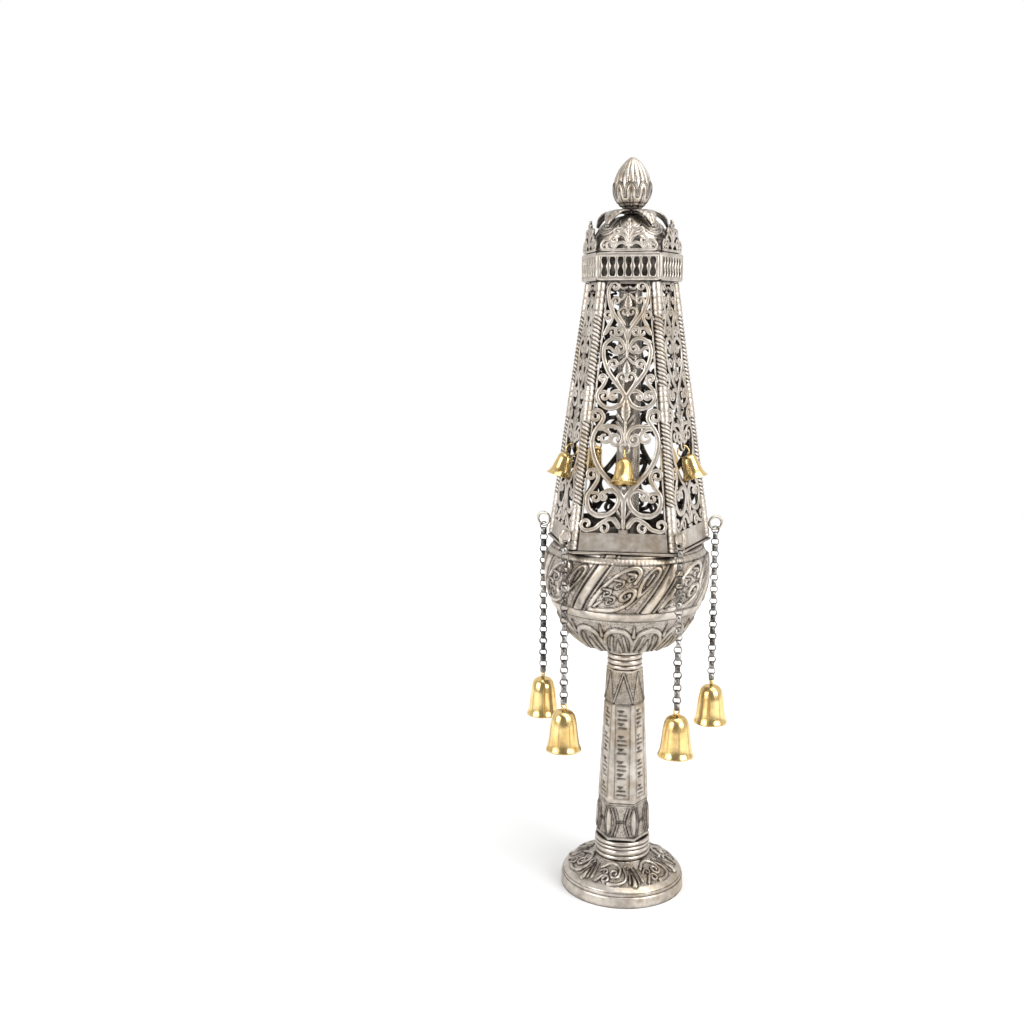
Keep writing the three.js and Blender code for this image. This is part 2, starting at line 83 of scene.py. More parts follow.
# ---------------------------------------------------------------- meshes
class Skin:
    """Closed shells in millimetres that become one mesh."""

    def __init__(self):
        self.points, self.faces, self.patina_and_shade, self.ground, self.total = [], [], [], [], 0

    def add(self, points, faces, patina_and_shade=0.0, ground=0.0):
        points = np.asarray(points, float).reshape(-1, 3)
        corners = points[faces[:, :3]]
        volume = np.einsum("ij,ij->i", corners[:, 0], np.cross(corners[:, 1], corners[:, 2])).sum()
        if volume < 0:
            faces = faces[:, ::-1]
        self.faces.append(faces + self.total)
        self.points.append(points)
        self.patina_and_shade.append(np.broadcast_to(np.ravel(patina_and_shade), len(points)))
        self.ground.append(np.broadcast_to(np.ravel(ground), len(points)))
        self.total += len(points)
        return self

    def sheet(self, grid, patina_and_shade=0.0, ground=0.0, wrap=False):
        """A shell over rows of points that close on themselves; with wrap the rows do too."""
        rows, columns = grid.shape[:2]
        self.add(grid, grid_faces(rows, columns, wrap), patina_and_shade, ground)
        if not wrap:
            self.cap(grid[0], patina_and_shade if np.isscalar(patina_and_shade) else patina_and_shade[0])
            self.cap(grid[-1], patina_and_shade if np.isscalar(patina_and_shade) else patina_and_shade[-1])
        return self

    def cap(self, ring, patina_and_shade):
        count = len(ring)
        faces = np.array([[i, (i + 1) % count, count] for i in range(count)])
        points = np.vstack([ring, ring.mean(0)])
        tone = np.append(np.broadcast_to(patina_and_shade, count), np.mean(patina_and_shade))
        self.faces.append(faces + self.total)
        self.points.append(points)
        self.patina_and_shade.append(tone)
        self.ground.append(np.zeros(count + 1))
        self.total += count + 1

    def moved(self, matrix):
        """The same shells after a move given as a 4 by 4 matrix in millimetres."""
        turn, shift = np.array(matrix.to_3x3()), np.array(matrix.translation)
        other = Skin()
        other.points = [p @ turn.T + shift for p in self.points]
        other.faces, other.patina_and_shade = list(self.faces), list(self.patina_and_shade)
        other.ground, other.total = list(self.ground), self.total
        return other

    def merge(self, other):
        for name in ("points", "patina_and_shade", "ground"):
            getattr(self, name).extend(getattr(other, name))
        self.faces.extend(f + self.total for f in other.faces)
        self.total += other.total
        return self

    def piece(self, name, node, material, slot=None):
        """Makes the mesh, which takes the place of a node. Its slot argument is not used."""
        mesh = bpy.data.meshes.new(name)
        faces = [face for block in self.faces for face in block.tolist()]
        mesh.from_pydata((np.vstack(self.points) * MM).tolist(), [], faces)
        for key in ("patina_and_shade", "ground"):
            layer = mesh.attributes.new(key, "FLOAT", "POINT")
            layer.data.foreach_set("value", np.concatenate(getattr(self, key)).astype(np.float32))
        mesh.shade_smooth()
        mesh.materials.append(material)
        mesh.validate()
        made = bpy.data.objects.new(name, mesh)
        bpy.context.scene.collection.objects.link(made)
        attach(made, "root")
        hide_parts(node)

    def on_each(self, name, node, place, material, start=0.0):
        """A piece on each side of the tower, or on each corner."""
        for i in range(SIDES):
            skin = self.moved(turned(i + start) @ place)
            skin.piece(f"{name}_{i + 1}", f"{node}_{i + 1}", material)


def grid_faces(rows, columns, wrap_rows=False):
    row = np.arange(rows if wrap_rows else rows - 1)
    row, column = np.meshgrid(row, np.arange(columns), indexing="ij")

    def at(i, j):
        return (i % rows) * columns + j % columns
    return np.stack([at(row, column), at(row, column + 1), at(row + 1, column + 1),
                     at(row + 1, column)], -1).reshape(-1, 4)


# ---------------------------------------------------------------- lines
def curve(points, step=0.45):
    """A smooth line through the points."""
    p = np.asarray(points, float)
    p = np.vstack([2 * p[0] - p[1], p, 2 * p[-1] - p[-2]])
    parts = []
    for a, b, c, d in zip(p, p[1:], p[2:], p[3:]):
        count = max(2, round(np.linalg.norm(c - b) / step))
        t = np.linspace(0, 1, count, endpoint=False)[:, None]
        parts.append(b + (c - a) * t / 2 + (a - 2.5 * b + 2 * c - d / 2) * t**2
                     + (-a + 3 * b - 3 * c + d) * t**3 / 2)
    return np.vstack(parts + [p[-2:-1]])


def scroll(points, centre, turns=0.95, step=0.45, tightest=0.34):
    """A smooth line that winds in round a centre at its end."""
    line = curve(points, step)
    arm, way = line[-1] - centre, line[-1] - line[-2]
    radius = np.hypot(*arm)
    hand = np.sign(arm[0] * way[1] - arm[1] * way[0])
    count = max(8, round(2 * math.pi * turns * radius * 0.65 / step))
    share = np.linspace(0, 1, count + 1)[1:]
    angle = math.atan2(arm[1], arm[0]) + hand * share * turns * 2 * math.pi
    reach = radius * (1 - (1 - tightest) * share)
    wound = centre + np.stack([np.cos(angle), np.sin(angle)], 1) * reach[:, None]
    return np.vstack([line, wound])


def along(line):
    """The length from a line's start to each of its points."""
    return np.concatenate([[0], np.cumsum(np.linalg.norm(np.diff(line, axis=0), axis=1))])


def frames(line):
    """The unit direction at each point of a line."""
    way = np.gradient(line, axis=0)
    return way / np.linalg.norm(way, axis=1, keepdims=True)


# ---------------------------------------------------------------- openwork in a flat plane
CROWNED = np.array([(-1, 0), (-1, 0.6), (-0.9, 0.84), (-0.55, 0.95), (0, 1),
                    (0.55, 0.95), (0.9, 0.84), (1, 0.6), (1, 0)])
# Painted shade: a stem is darker down its sides and darkest on its flat back.
CROWNED_PAINTED_SHADE = np.array([1, 0.8, 0.2, 0.02, 0, 0.02, 0.2, 0.8, 1])


def bar(skin, line, wide, thick, end_wide=None):
    """A stem of a pierced plate: flat at the back, crowned in front, round at both ends.

    x is across the plate, y up it and z out of it."""
    length = along(line)
    whole = length[-1]
    half = np.interp(length, [0, whole], [wide / 2, (end_wide or wide) / 2])
    for distance in (length, whole - length):
        inner = np.clip(1 - distance / np.maximum(half, 1e-6), 0, 1)
        half = half * np.sqrt(np.clip(1 - inner**2, 0.09, 1))
    way = frames(line)
    side = np.stack([way[:, 1], -way[:, 0]], 1)
    grid = np.zeros((len(line), len(CROWNED), 3))
    grid[:, :, :2] = line[:, None] + side[:, None] * (half[:, None] * CROWNED[:, 0])[:, :, None]
    grid[:, :, 2] = thick * CROWNED[:, 1]
    # The stem's sides and back are darkened as painted shade.
    skin.sheet(grid, np.ones((len(line), 1)) * CROWNED_PAINTED_SHADE)


def blade(skin, spine, half, thick, veins=0, rows=22, columns=11):
    """A leaf in the plate's plane: half gives its half width from 0 at the root to 1 at the tip."""
    share = np.linspace(0, 1, rows)
    line = np.stack([np.interp(share, np.linspace(0, 1, len(spine)), np.array(spine)[:, k])
                     for k in (0, 1)], 1)
    way = frames(line)
    side = np.stack([way[:, 1], -way[:, 0]], 1)
    width = np.array([half(s) for s in share])
    across = np.linspace(-1, 1, columns)
    grid = np.zeros((rows, columns + 2, 3))
    full = np.concatenate([across, [1, -1]])
    grid[:, :, :2] = line[:, None] + side[:, None] * (width[:, None] * full)[:, :, None]
    edge = np.sqrt(1 - 0.75 * across**2)
    rib = np.exp(-(across / 0.13)**2)
    lines = np.zeros((rows, columns))
    if veins:
        phase = share[:, None] * veins - np.abs(across) * 1.1
        lines = (0.5 + 0.5 * np.cos(2 * math.pi * phase))**4 * (np.abs(across) > 0.2)
    grid[:, :columns, 2] = thick * (edge - 0.16 * rib - 0.12 * lines)
    # Painted shade on the back and along the outer edges; the rib and the veins are darker too.
    patina_and_shade = np.ones((rows, columns + 2))
    patina_and_shade[:, :columns] = np.clip(0.75 * rib + 0.7 * lines + 0.6 * (np.abs(across) > 0.95), 0, 1)
    skin.sheet(grid, patina_and_shade)


def slab(skin, outline, thick):
    """A plain plate with softened front edges, from an outline in its plane."""
    bevel = 0.25
    centre = outline.mean(0)
    inward = centre - outline
    inset = outline + inward * (bevel / np.linalg.norm(inward, axis=1))[:, None]
    rings = [(outline, 0.0), (outline, thick - bevel), (inset, thick)]
    grid = np.stack([np.column_stack([ring, np.full(len(ring), z)]) for ring, z in rings])
    # Painted shade: the back is darkest and the sides are darker than the front.
    skin.sheet(grid, np.array([1.0, 0.35, 0.0])[:, None] * np.ones(len(outline)))


def dome_bead(skin, centre, radius, thick):
    """A round boss, such as the end of a scroll or the heart of a flower."""
    angle = np.linspace(0, 2 * math.pi, 14, endpoint=False)
    rings = [(1, 0), (1, 0.4), (0.88, 0.72), (0.55, 0.94), (0.2, 1)]
    grid = np.stack([np.column_stack([centre[0] + radius * r * np.cos(angle),
                                      centre[1] + radius * r * np.sin(angle),
                                      np.full(len(angle), thick * z)]) for r, z in rings])
    # Painted shade: darker towards the foot, where the boss meets the plate.
    skin.sheet(grid, np.array([1, 0.8, 0.3, 0, 0])[:, None] * np.ones(len(angle)))


# ---------------------------------------------------------------- chased surfaces of revolution
class Chasing:
    """Relief worked out over u and v, two millimetre coordinates of a surface."""

    def __init__(self, u, v):
        self.u, self.v = np.broadcast_arrays(u, v)
        self.lift = np.zeros(self.u.shape)
        self.patina_and_shade = np.zeros(self.u.shape)
        self.ground = np.zeros(self.u.shape)

    def gap(self, line, half, end_half=None):
        """Distance outside a line with a width: negative inside it."""
        line = np.asarray(line, float)
        length = along(line)
        halves = np.interp(length, [0, length[-1]], [half, half if end_half is None else end_half])
        reach = 2.5 + max(halves)
        near = ((self.u > line[:, 0].min() - reach) & (self.u < line[:, 0].max() + reach)
                & (self.v > line[:, 1].min() - reach) & (self.v < line[:, 1].max() + reach))
        u, v = self.u[near], self.v[near]
        best = np.full(u.shape, reach)
        for a, b, wa, wb in zip(line, line[1:], halves, halves[1:]):
            d = b - a
            t = np.clip(((u - a[0]) * d[0] + (v - a[1]) * d[1]) / max(d @ d, 1e-9), 0, 1)
            away = np.hypot(u - a[0] - t * d[0], v - a[1] - t * d[1]) - (wa + (wb - wa) * t)
            best = np.minimum(best, away)
        gap = np.full(self.u.shape, reach)
        gap[near] = best
        return gap

    def raise_(self, gap, rise, bevel=0.8, groove=0.22, tone=0.0):
        """Raises the inside of a shape as a rounded form, with a cut line round it."""
        depth = np.clip(-gap / bevel, 0, 1)
        inside = gap < 0
        form = rise * np.sqrt(1 - (1 - depth)**2)
        cut = np.exp(-(gap / 0.34)**2)
        self.lift = np.where(inside, form, self.lift) - groove * cut
        self.patina_and_shade = np.where(inside, tone, self.patina_and_shade)
        self.patina_and_shade = np.clip(self.patina_and_shade + 0.95 * cut, 0, 1)
        self.ground = np.where(gap < 0.25, 0, self.ground)

    def form(self, line, half, end_half, rise, bevel):
        """A raised stroke along a line."""
        self.raise_(self.gap(line, half, end_half), rise, bevel)

    def seen_over(self, u):
        """The same surface with another first coordinate, such as a mirrored one."""
        other = Chasing(u, self.v)
        other.lift, other.patina_and_shade, other.ground = self.lift, self.patina_and_shade, self.ground
        return other

    def cut(self, gap, depth=0.25, wide=0.3, dark=0.9):
        """A chased line."""
        line = np.exp(-(np.maximum(gap, 0) / wide)**2)
        self.lift -= depth * line
        self.patina_and_shade = np.clip(self.patina_and_shade + dark * line, 0, 1)
        self.ground *= 1 - line

    def background(self, where, sink=0.25, tone=0.2):
        self.ground = np.where(where, 1.0, self.ground)
        self.lift = np.where(where, self.lift - sink, self.lift)
        self.patina_and_shade = np.where(where, tone, self.patina_and_shade)


def smooth_profile(points, step=PROFILE_STEP):
    """Radius and height along a curve through the points, at even steps."""
    line = curve(points, step / 4)
    length = along(line)
    even = np.linspace(0, length[-1], max(8, round(length[-1] / step)))
    return np.stack([np.interp(even, length, line[:, k]) for k in (0, 1)], 1)


def straight_profile(points, step=PROFILE_STEP):
    """The same along straight runs, which keeps their corners."""
    parts = []
    points = np.asarray(points, float)
    for a, b in zip(points, points[1:]):
        count = max(1, round(np.linalg.norm(b - a) / step))
        parts.append(a + (b - a) * np.linspace(0, 1, count, endpoint=False)[:, None])
    return np.vstack(parts + [points[-1:]])


def around(count):
    """Angles round the axis, anticlockwise from the front."""
    return np.linspace(-math.pi, math.pi, count, endpoint=False)


def turned_grid(profile, angles, lift=0.0):
    """Points of a surface of revolution, raised along its own normal. Angle 0 faces the front."""
    way = frames(profile)
    out = np.stack([way[:, 1], -way[:, 0]], 1)
    lift = np.broadcast_to(lift, (len(profile), len(angles)))
    radius = profile[:, :1] + out[:, :1] * lift
    height = profile[:, 1:] + out[:, 1:] * lift
    return np.stack([radius * np.sin(angles), -radius * np.cos(angles), height], -1)


def lathe(skin, profile, count, patina_and_shade=0.0, wrap=False, shape=None):
    """A turned form; shape gives an extra radius at each height and angle."""
    profile = np.asarray(profile, float)
    angles = around(count)
    grid = turned_grid(profile, angles)
    if shape is not None:
        extra = shape(profile[:, 1:], angles)
        grid[:, :, 0] += extra * np.sin(angles)
        grid[:, :, 1] -= extra * np.cos(angles)
    tone = patina_and_shade if np.isscalar(patina_and_shade) else np.asarray(patina_and_shade)[:, None] * np.ones(count)
    skin.sheet(grid, tone, wrap=wrap)


def fold(angle, count):
    """An angle brought into the cell of a pattern that repeats count times, middle at 0."""
    cell = 2 * math.pi / count
    return angle - cell * np.round(angle / cell)


# ---------------------------------------------------------------- materials
class Nodes:
    """Short names for building a node tree."""

    def __init__(self, name):
        self.material = bpy.data.materials.new(name)
        self.material.use_nodes = True
        self.tree = self.material.node_tree
        self.tree.nodes.clear()

    def add(self, kind, inputs=None, **settings):
        made = self.tree.nodes.new(kind)
        for key, value in settings.items():
            setattr(made, key, value)
        for key, value in (inputs or {}).items():
            if isinstance(value, bpy.types.NodeSocket):
                self.tree.links.new(value, made.inputs[key])
            else:
                made.inputs[key].default_value = value
        return made

    def maths(self, operation, a, b=0.0, clamp=False):
        return self.add("ShaderNodeMath", {0: a, 1: b}, operation=operation,
                        use_clamp=clamp).outputs[0]

    def remap(self, value, low_in, high_in, low_out=0.0, high_out=1.0):
        return self.add("ShaderNodeMapRange", {"Value": value, "From Min": low_in,
                        "From Max": high_in, "To Min": low_out, "To Max": high_out}).outputs[0]

    def noise(self, vector, size, detail=3.0, kind="ShaderNodeTexNoise"):
        """Noise with features of about this many millimetres."""
        inputs = {"Vector": vector, "Scale": 1 / (size * MM)}
        if kind == "ShaderNodeTexNoise":
            inputs["Detail"] = detail
        return self.add(kind, inputs).outputs["Fac" if kind == "ShaderNodeTexNoise"
                                              else "Distance"]

    def blend(self, factor, a, b):
        made = self.add("ShaderNodeMix", data_type="RGBA")
        for socket, value in zip((made.inputs["Factor"], *[s for s in made.inputs
                                  if s.type == "RGBA"]), (factor, a, b)):
            if isinstance(value, bpy.types.NodeSocket):
                self.tree.links.new(value, socket)
            else:
                socket.default_value = value
        return next(s for s in made.outputs if s.type == "RGBA")


def metal(name, bright, dull, deep, stain, roughness, painted_shade_reach=2.2, stained=0.5, scratch=0.05):
    """Worn metal: bright where it is rubbed, dull elsewhere and deep in its recesses, partly
    tarnish and partly shade painted into the colour from ambient occlusion.
    """
    n = Nodes(name)
    place = n.add("ShaderNodeTexCoord").outputs["Object"]
    patina_and_shade = n.add("ShaderNodeAttribute", attribute_name="patina_and_shade").outputs["Fac"]
    ground = n.add("ShaderNodeAttribute", attribute_name="ground").outputs["Fac"]
    shade = n.add("ShaderNodeAmbientOcclusion", {"Distance": painted_shade_reach * MM}, samples=8).outputs["AO"]
    cloud = n.noise(place, 17, 4)
    mottle = n.noise(place, 3.2, 5)
    grain = n.noise(place, 0.5, 2)
    dots = n.noise(place, 0.95, kind="ShaderNodeTexVoronoi")
    # Painted shade: ambient occlusion darkens the colour in recesses, under parts and between them.
    occlusion_shade = n.remap(shade, 0.9, 0.3)
    pits = n.maths("MULTIPLY", ground, n.remap(dots, 0.5, 0.2))
    # The darkening adds the tarnish channel, which carries painted shade too, the painted occlusion
    # shade and the punched dots.
    tarnish_and_shade = n.maths("ADD", n.maths("MULTIPLY", patina_and_shade, n.remap(mottle, 0.2, 0.6, 0.62, 1.0)),
                   n.maths("MULTIPLY", occlusion_shade, 0.8))
    tarnish_and_shade = n.maths("ADD", tarnish_and_shade, n.maths("MULTIPLY", pits, 0.5), clamp=True)
    worn = n.blend(n.remap(n.maths("ADD", cloud, n.maths("MULTIPLY", mottle, 0.7)), 0.7, 1.0),
                   bright, dull)
    patches = n.remap(n.maths("ADD", n.noise(place, 26, 5), n.maths("MULTIPLY", mottle, 0.35)),
                      0.66, 0.86, 0.0, stained)
    tinted = n.blend(patches, worn, stain)
    colour = n.blend(tarnish_and_shade, tinted, deep)
    rough = n.maths("ADD", n.remap(cloud, 0.3, 0.7, roughness, roughness + 0.1),
                    n.maths("MULTIPLY", tarnish_and_shade, 0.25), clamp=True)
    height = n.maths("SUBTRACT", n.maths("MULTIPLY", grain, scratch),
                     n.maths("MULTIPLY", pits, 0.35))
    height = n.maths("ADD", height, n.maths("MULTIPLY", mottle, scratch * 3))
    bump = n.add("ShaderNodeBump", {"Height": height, "Distance": 0.35 * MM, "Strength": 0.8})
    shader = n.add("ShaderNodeBsdfPrincipled", {
        "Base Color": colour, "Metallic": 1.0, "Roughness": rough,
        "Normal": bump.outputs["Normal"]})
    n.add("ShaderNodeOutputMaterial", {"Surface": shader.outputs[0]})
    return n.material


def rgb(red, green, blue):
    return red, green, blue, 1.0


SILVER = {"bright": rgb(0.62, 0.565, 0.505), "dull": rgb(0.41, 0.365, 0.315),
          "deep": rgb(0.035, 0.029, 0.024), "stain": rgb(0.36, 0.26, 0.15)}
chased = metal("chased_silver", roughness=0.3, **SILVER)
openwork = metal("openwork_silver", roughness=0.34, painted_shade_reach=2.4, **SILVER)
plain = metal("plain_silver", roughness=0.26, stained=0.35, **SILVER)
tube_silver = metal("tube_silver", roughness=0.24, stained=0.3, **SILVER)
oxidised = metal("oxidised_silver", rgb(0.42, 0.40, 0.38), rgb(0.07, 0.065, 0.06),
                 rgb(0.012, 0.010, 0.010), rgb(0.14, 0.10, 0.07), 0.26, painted_shade_reach=1.6)
gilt = metal("gilt", rgb(0.78, 0.58, 0.26), rgb(0.66, 0.46, 0.18), rgb(0.10, 0.055, 0.015),
             rgb(0.45, 0.25, 0.07), 0.16, stained=0.35, painted_shade_reach=1.6, scratch=0.03)


# ---------------------------------------------------------------- foot
def foot():
    """A plain rim under a dome chased with leafy scrolls on a punched ground."""
    top = high("foot")[2]
    outer = smooth_profile([(31.2, 10.4), (27.6, 12.6), (22.4, 15.0), (18, 16.8), (15.3, top)])
    rim = straight_profile([(34.4, 0), (34.3, 5.4), (33.7, 6.2), (33.6, 8.2), (31.2, 10.4)])
    under = [(15.2, top), (12.2, top), (14.5, 15.4), (24.5, 10.4), (31.6, 5.2), (31.6, 0)]
    outside = np.vstack([rim[:-1], outer])
    angles = around(430)
    length = along(outside)[:, None]
    work = Chasing(fold(angles, 6)[None] * 28 + 0 * length, length + 0 * angles)
    inner = along(rim)[-1]
    work.background(work.v > inner + 0.6, 0.2)
    for level in (6.1, 8.0):
        ring = length[np.argmin(np.abs(outside[:, 1] - level))]
        work.cut(np.abs(work.v - ring), 0.25, 0.3)
    chase_foot_cell(work, inner)
    skin = Skin()
    grid = turned_grid(outside, angles, work.lift)
    inside = turned_grid(np.array(under), angles)
    # Painted shade: the underside is darkened.
    patina_and_shade = np.vstack([work.patina_and_shade, np.full((len(under), len(angles)), 0.8)])
    ground = np.vstack([work.ground, np.zeros((len(under), len(angles)))])
    skin.sheet(np.vstack([grid, inside]), patina_and_shade, ground, wrap=True)
    skin.piece("foot_chased", "foot", chased)


def chase_foot_cell(work, base):
    """One cell of the foot: a leafy C-scroll, two small scrolls and a dart-shaped leaf.

    Each row has a line's points, for a scroll the middle of its coil and its turns, and then
    the stroke's half width at its start and end, its rise and its bevel."""
    scrolls = (
        (((-13.6, 11.6), (-9, 15.2), (-3, 15.6), (0.6, 12.0), (0, 8.0)), (-3.2, 8.8), 1.1,
         1.2, 0.8, 0.9, 0.9),
        (((-5.6, 2.0), (-1, 1.8), (3.4, 4.2), (4.4, 8.4), (3.0, 12)), (5.4, 12.6), 0.6,
         1.1, 0.6, 0.8, 0.8),
        (((-12.8, 2.0), (-10.6, 5.6)), (-8.2, 4.4), 1.1, 1.0, 0.7, 0.8, 0.7),
        (((-13.2, 9.0), (-11.2, 10.4)), (-9.6, 9.0), 1.0, 0.8, 0.6, 0.7, 0.6))
    for points, middle, turns, *stroke in scrolls:
        line = scroll(np.add(points, (0, base)), np.add(middle, (0, base)), turns, 0.4)
        work.form(line, *stroke)
    leaves = ((((8.6, 1.0), (8.8, 4.6), (8.2, 8.4)), 1.5, 0.25, 1.0, 0.9),
              (((6.2, 2.6), (6.6, 7.0), (8.0, 12.6)), 0.7, 0.3, 0.6, 0.6),
              (((11.2, 2.6), (10.6, 7.0), (8.6, 12.6)), 0.7, 0.3, 0.6, 0.6),
              (((13.6, 3.4), (13.0, 8.0), (11.4, 13.6)), 0.9, 0.3, 0.7, 0.7))
    for points, *stroke in leaves:
        work.form(curve(np.add(points, (0, base))), *stroke)


# ---------------------------------------------------------------- collars
def collar(name, node, radius, beads, bore=None):
    """Beads turned one over another, with dark lines between them."""
    bottom, top = low(node)[2], high(node)[2]
    profile, patina_and_shade = [], []
    cuts = np.cumsum([0] + beads) / sum(beads)
    for start, end in zip(cuts, cuts[1:]):
        for share in np.linspace(0, 1, 13):
            bulge = math.sqrt(max(0.0, 1 - (2 * share - 1)**2))
            profile.append((radius - 1.1 + 1.1 * bulge**0.8,
                            bottom + (top - bottom) * (start + (end - start) * share)))
            patina_and_shade.append(0.95 if bulge < 0.5 else 0.0)
    if bore:
        profile += [(bore, top), (bore, bottom)]
        # Painted shade: the bore is darkened.
        patina_and_shade += [0.8, 0.8]
    skin = Skin()
    lathe(skin, profile, 96, patina_and_shade, wrap=bool(bore))
    skin.piece(name, node, plain)


# ---------------------------------------------------------------- shaft
def shaft():
    """Six faces that taper upwards, each with a framed column of strokes."""
    bottom, top = low("shaft")[2], high("shaft")[2]
    half_bottom, half_top = 13.0, 8.9
    heights = np.linspace(bottom, top, 216)
    angles = around(168)
    half = np.interp(heights, [bottom, top], [half_bottom, half_top])[:, None]
    turn = fold(angles, 6)[None]
    x = half * np.tan(turn)
    corner = half * math.tan(math.pi / 6)
    edge = (corner - np.abs(x))          # distance from the nearest corner
    z = heights[:, None] + 0 * x
    work = Chasing(x, z)
    upper = (z > 107.5) & (z < 125.5)
    work.background(upper, 0.12, 0.12)
    punches = 0.78 - np.cos(x * 5) * np.cos(z * 4)
    work.cut(np.where(upper, punches, 3), 0.2, 0.25)
    lower = (z > 32) & (z < 48.5)
    work.background(lower & (edge > 1.6), 0.15, 0.16)
    frame_half = 4.1
    low_end, high_end = 53.5, 106.5
    for offset, depth in ((0, 0.3), (0.9, 0.14)):
        box = np.maximum(np.abs(x) - frame_half + offset,
                         np.maximum(low_end + offset - z, z - high_end + offset))
        work.cut(np.abs(box), depth, 0.28, 0.9 if offset == 0 else 0.25)
    mirror = work.seen_over(np.abs(x))
    for a, b in (((5.4, 108.4), (0.2, 124.5)), ((7.2, 108.4), (6.0, 108.0))):
        mirror.form([a, b], 0.55, 0.55, 0.45, 0.5)
    for bulge in (1.6, 3.4):
        side = curve([(bulge + 2.0, 32), (bulge + 0.2, 40), (bulge + 2.0, 48)])
        mirror.form(side, 0.5, 0.5, 0.35, 0.5)
    for level in (39.4, 40.6):
        mirror.cut(mirror.gap([(0, level), (1.8, level)], 0.15))
    oval = np.hypot(edge / 1.7, (z - 40) / 8.2) - 1
    mirror.raise_(oval * 1.7, 0.5, 0.9)
    for level, depth in ((50.6, 0.45), (49.4, 0.3), (31.2, 0.3), (107.3, 0.25)):
        mirror.cut(np.abs(z - level), depth, 0.35)
    for row in range(21):
        if row % 6 == 5:
            continue
        y = high_end - 2.8 - row * 2.4
        start, reach = -2.6 + 0.5 * math.sin(row * 1.3)**2, 0.4 + 2.1 * math.sin(row * 2.1)**2
        mirror.cut(work.gap([(start, y), (reach, y - 0.2)], 0.34, 0.22), 0.32, 0.26)
        if row % 3 == 0:
            mirror.cut(work.gap([(start + 0.6, y - 1.0), (reach - 0.8, y - 1.1)], 0.2), 0.26, 0.24)
    radius = half / np.cos(turn) + mirror.lift
    outside = np.stack([radius * np.sin(angles), -radius * np.cos(angles), z], -1)
    bore = np.interp([top, bottom], [bottom, top], [half_bottom, half_top]) - 1.5
    inside = turned_grid(np.array([(bore[0], top), (bore[1], bottom)]), angles)
    skin = Skin()
    blank = np.zeros((2, len(angles)))
    # Painted shade: the bore inside is darkened.
    skin.sheet(np.vstack([outside, inside]), np.vstack([mirror.patina_and_shade, blank + 0.8]),
               np.vstack([mirror.ground, blank]), wrap=True)
    skin.piece("shaft_engraved", "shaft", chased, "plain_silver")


# ---------------------------------------------------------------- knop
KNOP_UNITS = 7
KNOP_ARCHES = 13
RIDGE = 166.8            # height of the knop's ridge
KNOP_RADIUS = 44         # at which the cells are laid out


def knop():
    """A squat bowl: slanting bands and chased cells above a ridge, arches of leaves below it."""
    bottom, top = low("knop")[2], high("knop")[2]
    profile = smooth_profile([(12.7, bottom), (20.8, 139.6), (26.8, 143.4), (32.0, 148.6),
                              (36.2, 155), (38.9, 160.4), (41.0, 163.8), (41.6, 167),
                              (43.4, 174), (44.1, 181), (44.0, 188), (43.2, 192.4),
                              (41.2, 195.6), (40.6, top)])
    angles = around(504)
    z = profile[:, 1:] + 0 * angles
    turn = angles[None] + 0 * z
    lean = math.radians(22) / 25
    cell = 2 * math.pi / KNOP_UNITS
    slanted = turn - lean * (z - 180) + math.radians(30.5)
    u = (slanted - cell * np.floor(slanted / cell)) * KNOP_RADIUS
    work = Chasing(u, z)
    above = z > 167
    work.background(above & (z < 192.3), 0.2, 0.16)
    width = cell * KNOP_RADIUS
    for start in (0, width):
        for middle, half, rise in ((1.4, 0.9, 0.7), (6.0, 2.9, 1.0), (10.6, 0.9, 0.7)):
            gap = np.where(above, np.abs(u - middle - start) - half, 3)
            work.raise_(gap, rise, 1.4)
    chase_cell(work, 12.2)
    for level in (166.6, 161.4):
        work.cut(np.abs(z - level), 0.5, 0.4)
    rim = (z > 192.6) & (z < 195.4)
    work.lift = np.where(rim, 0.08 * np.cos(turn * 130), work.lift)
    work.patina_and_shade = np.where(rim, 0.12 + 0.1 * np.cos(turn * 130), work.patina_and_shade)
    for level in (192.4, 195.6):
        work.cut(np.abs(z - level), 0.4, 0.35)
    chase_arches(work, turn, z)
    skin = Skin().sheet(turned_grid(profile, angles, work.lift), work.patina_and_shade, work.ground)
    skin.piece("knop_chased", "knop", chased)


def chase_cell(work, left):
    """One cell of the knop: an arched scroll round smaller ones, leaves and a heart-shaped loop."""
    def at(*pairs):
        return np.add(pairs, (left, RIDGE))
    work.form(curve(at((0.8, 2.0), (0.6, 8), (2.2, 16), (6, 22.4), (11.4, 24.3), (15.6, 21.6),
                       (16.2, 16.6))), 1.7, 1.1, 1.1, 1.0)
    work.form(scroll(at((1.6, 1.4), (9, 1.2), (16.5, 2.4), (20.4, 6.4), (20.2, 10.4)),
                     at((16.4, 9.6))[0], 1.15, 0.45, 0.3), 1.5, 0.9, 1.1, 0.9)
    for x, y, radius in ((9.6, 6.6, 2.5), (5.4, 10.6, 2.2), (8.6, 15.2, 2.5), (12.6, 19.0, 2.1)):
        start = at((x - 2.6 * radius * 0.6, y + radius * 1.2), (x, y + radius))
        work.form(scroll(start, at((x, y))[0], 1.1), 0.75, 0.6, 0.7, 0.5)
    work.form(curve(at((3.2, 3.6), (4.6, 5.4), (6.2, 7.4))), 1.3, 0.3, 0.8, 0.8)
    work.form(curve(at((21.5, 3.4), (23.0, 7.4), (24.2, 11.6))), 1.2, 0.4, 0.8, 0.8)
    loop = curve(at((22.6, 9.6), (20.4, 15), (20.0, 20.4), (22.2, 24.0), (25.4, 22.6),
                    (25.6, 17.4), (23.4, 10.4)))
    work.form(loop, 1.0, 1.0, 1.0, 0.8)
    work.form(at((23.0, 15.4), (23.0, 20.6)), 0.7, 0.9, 0.6, 0.6)


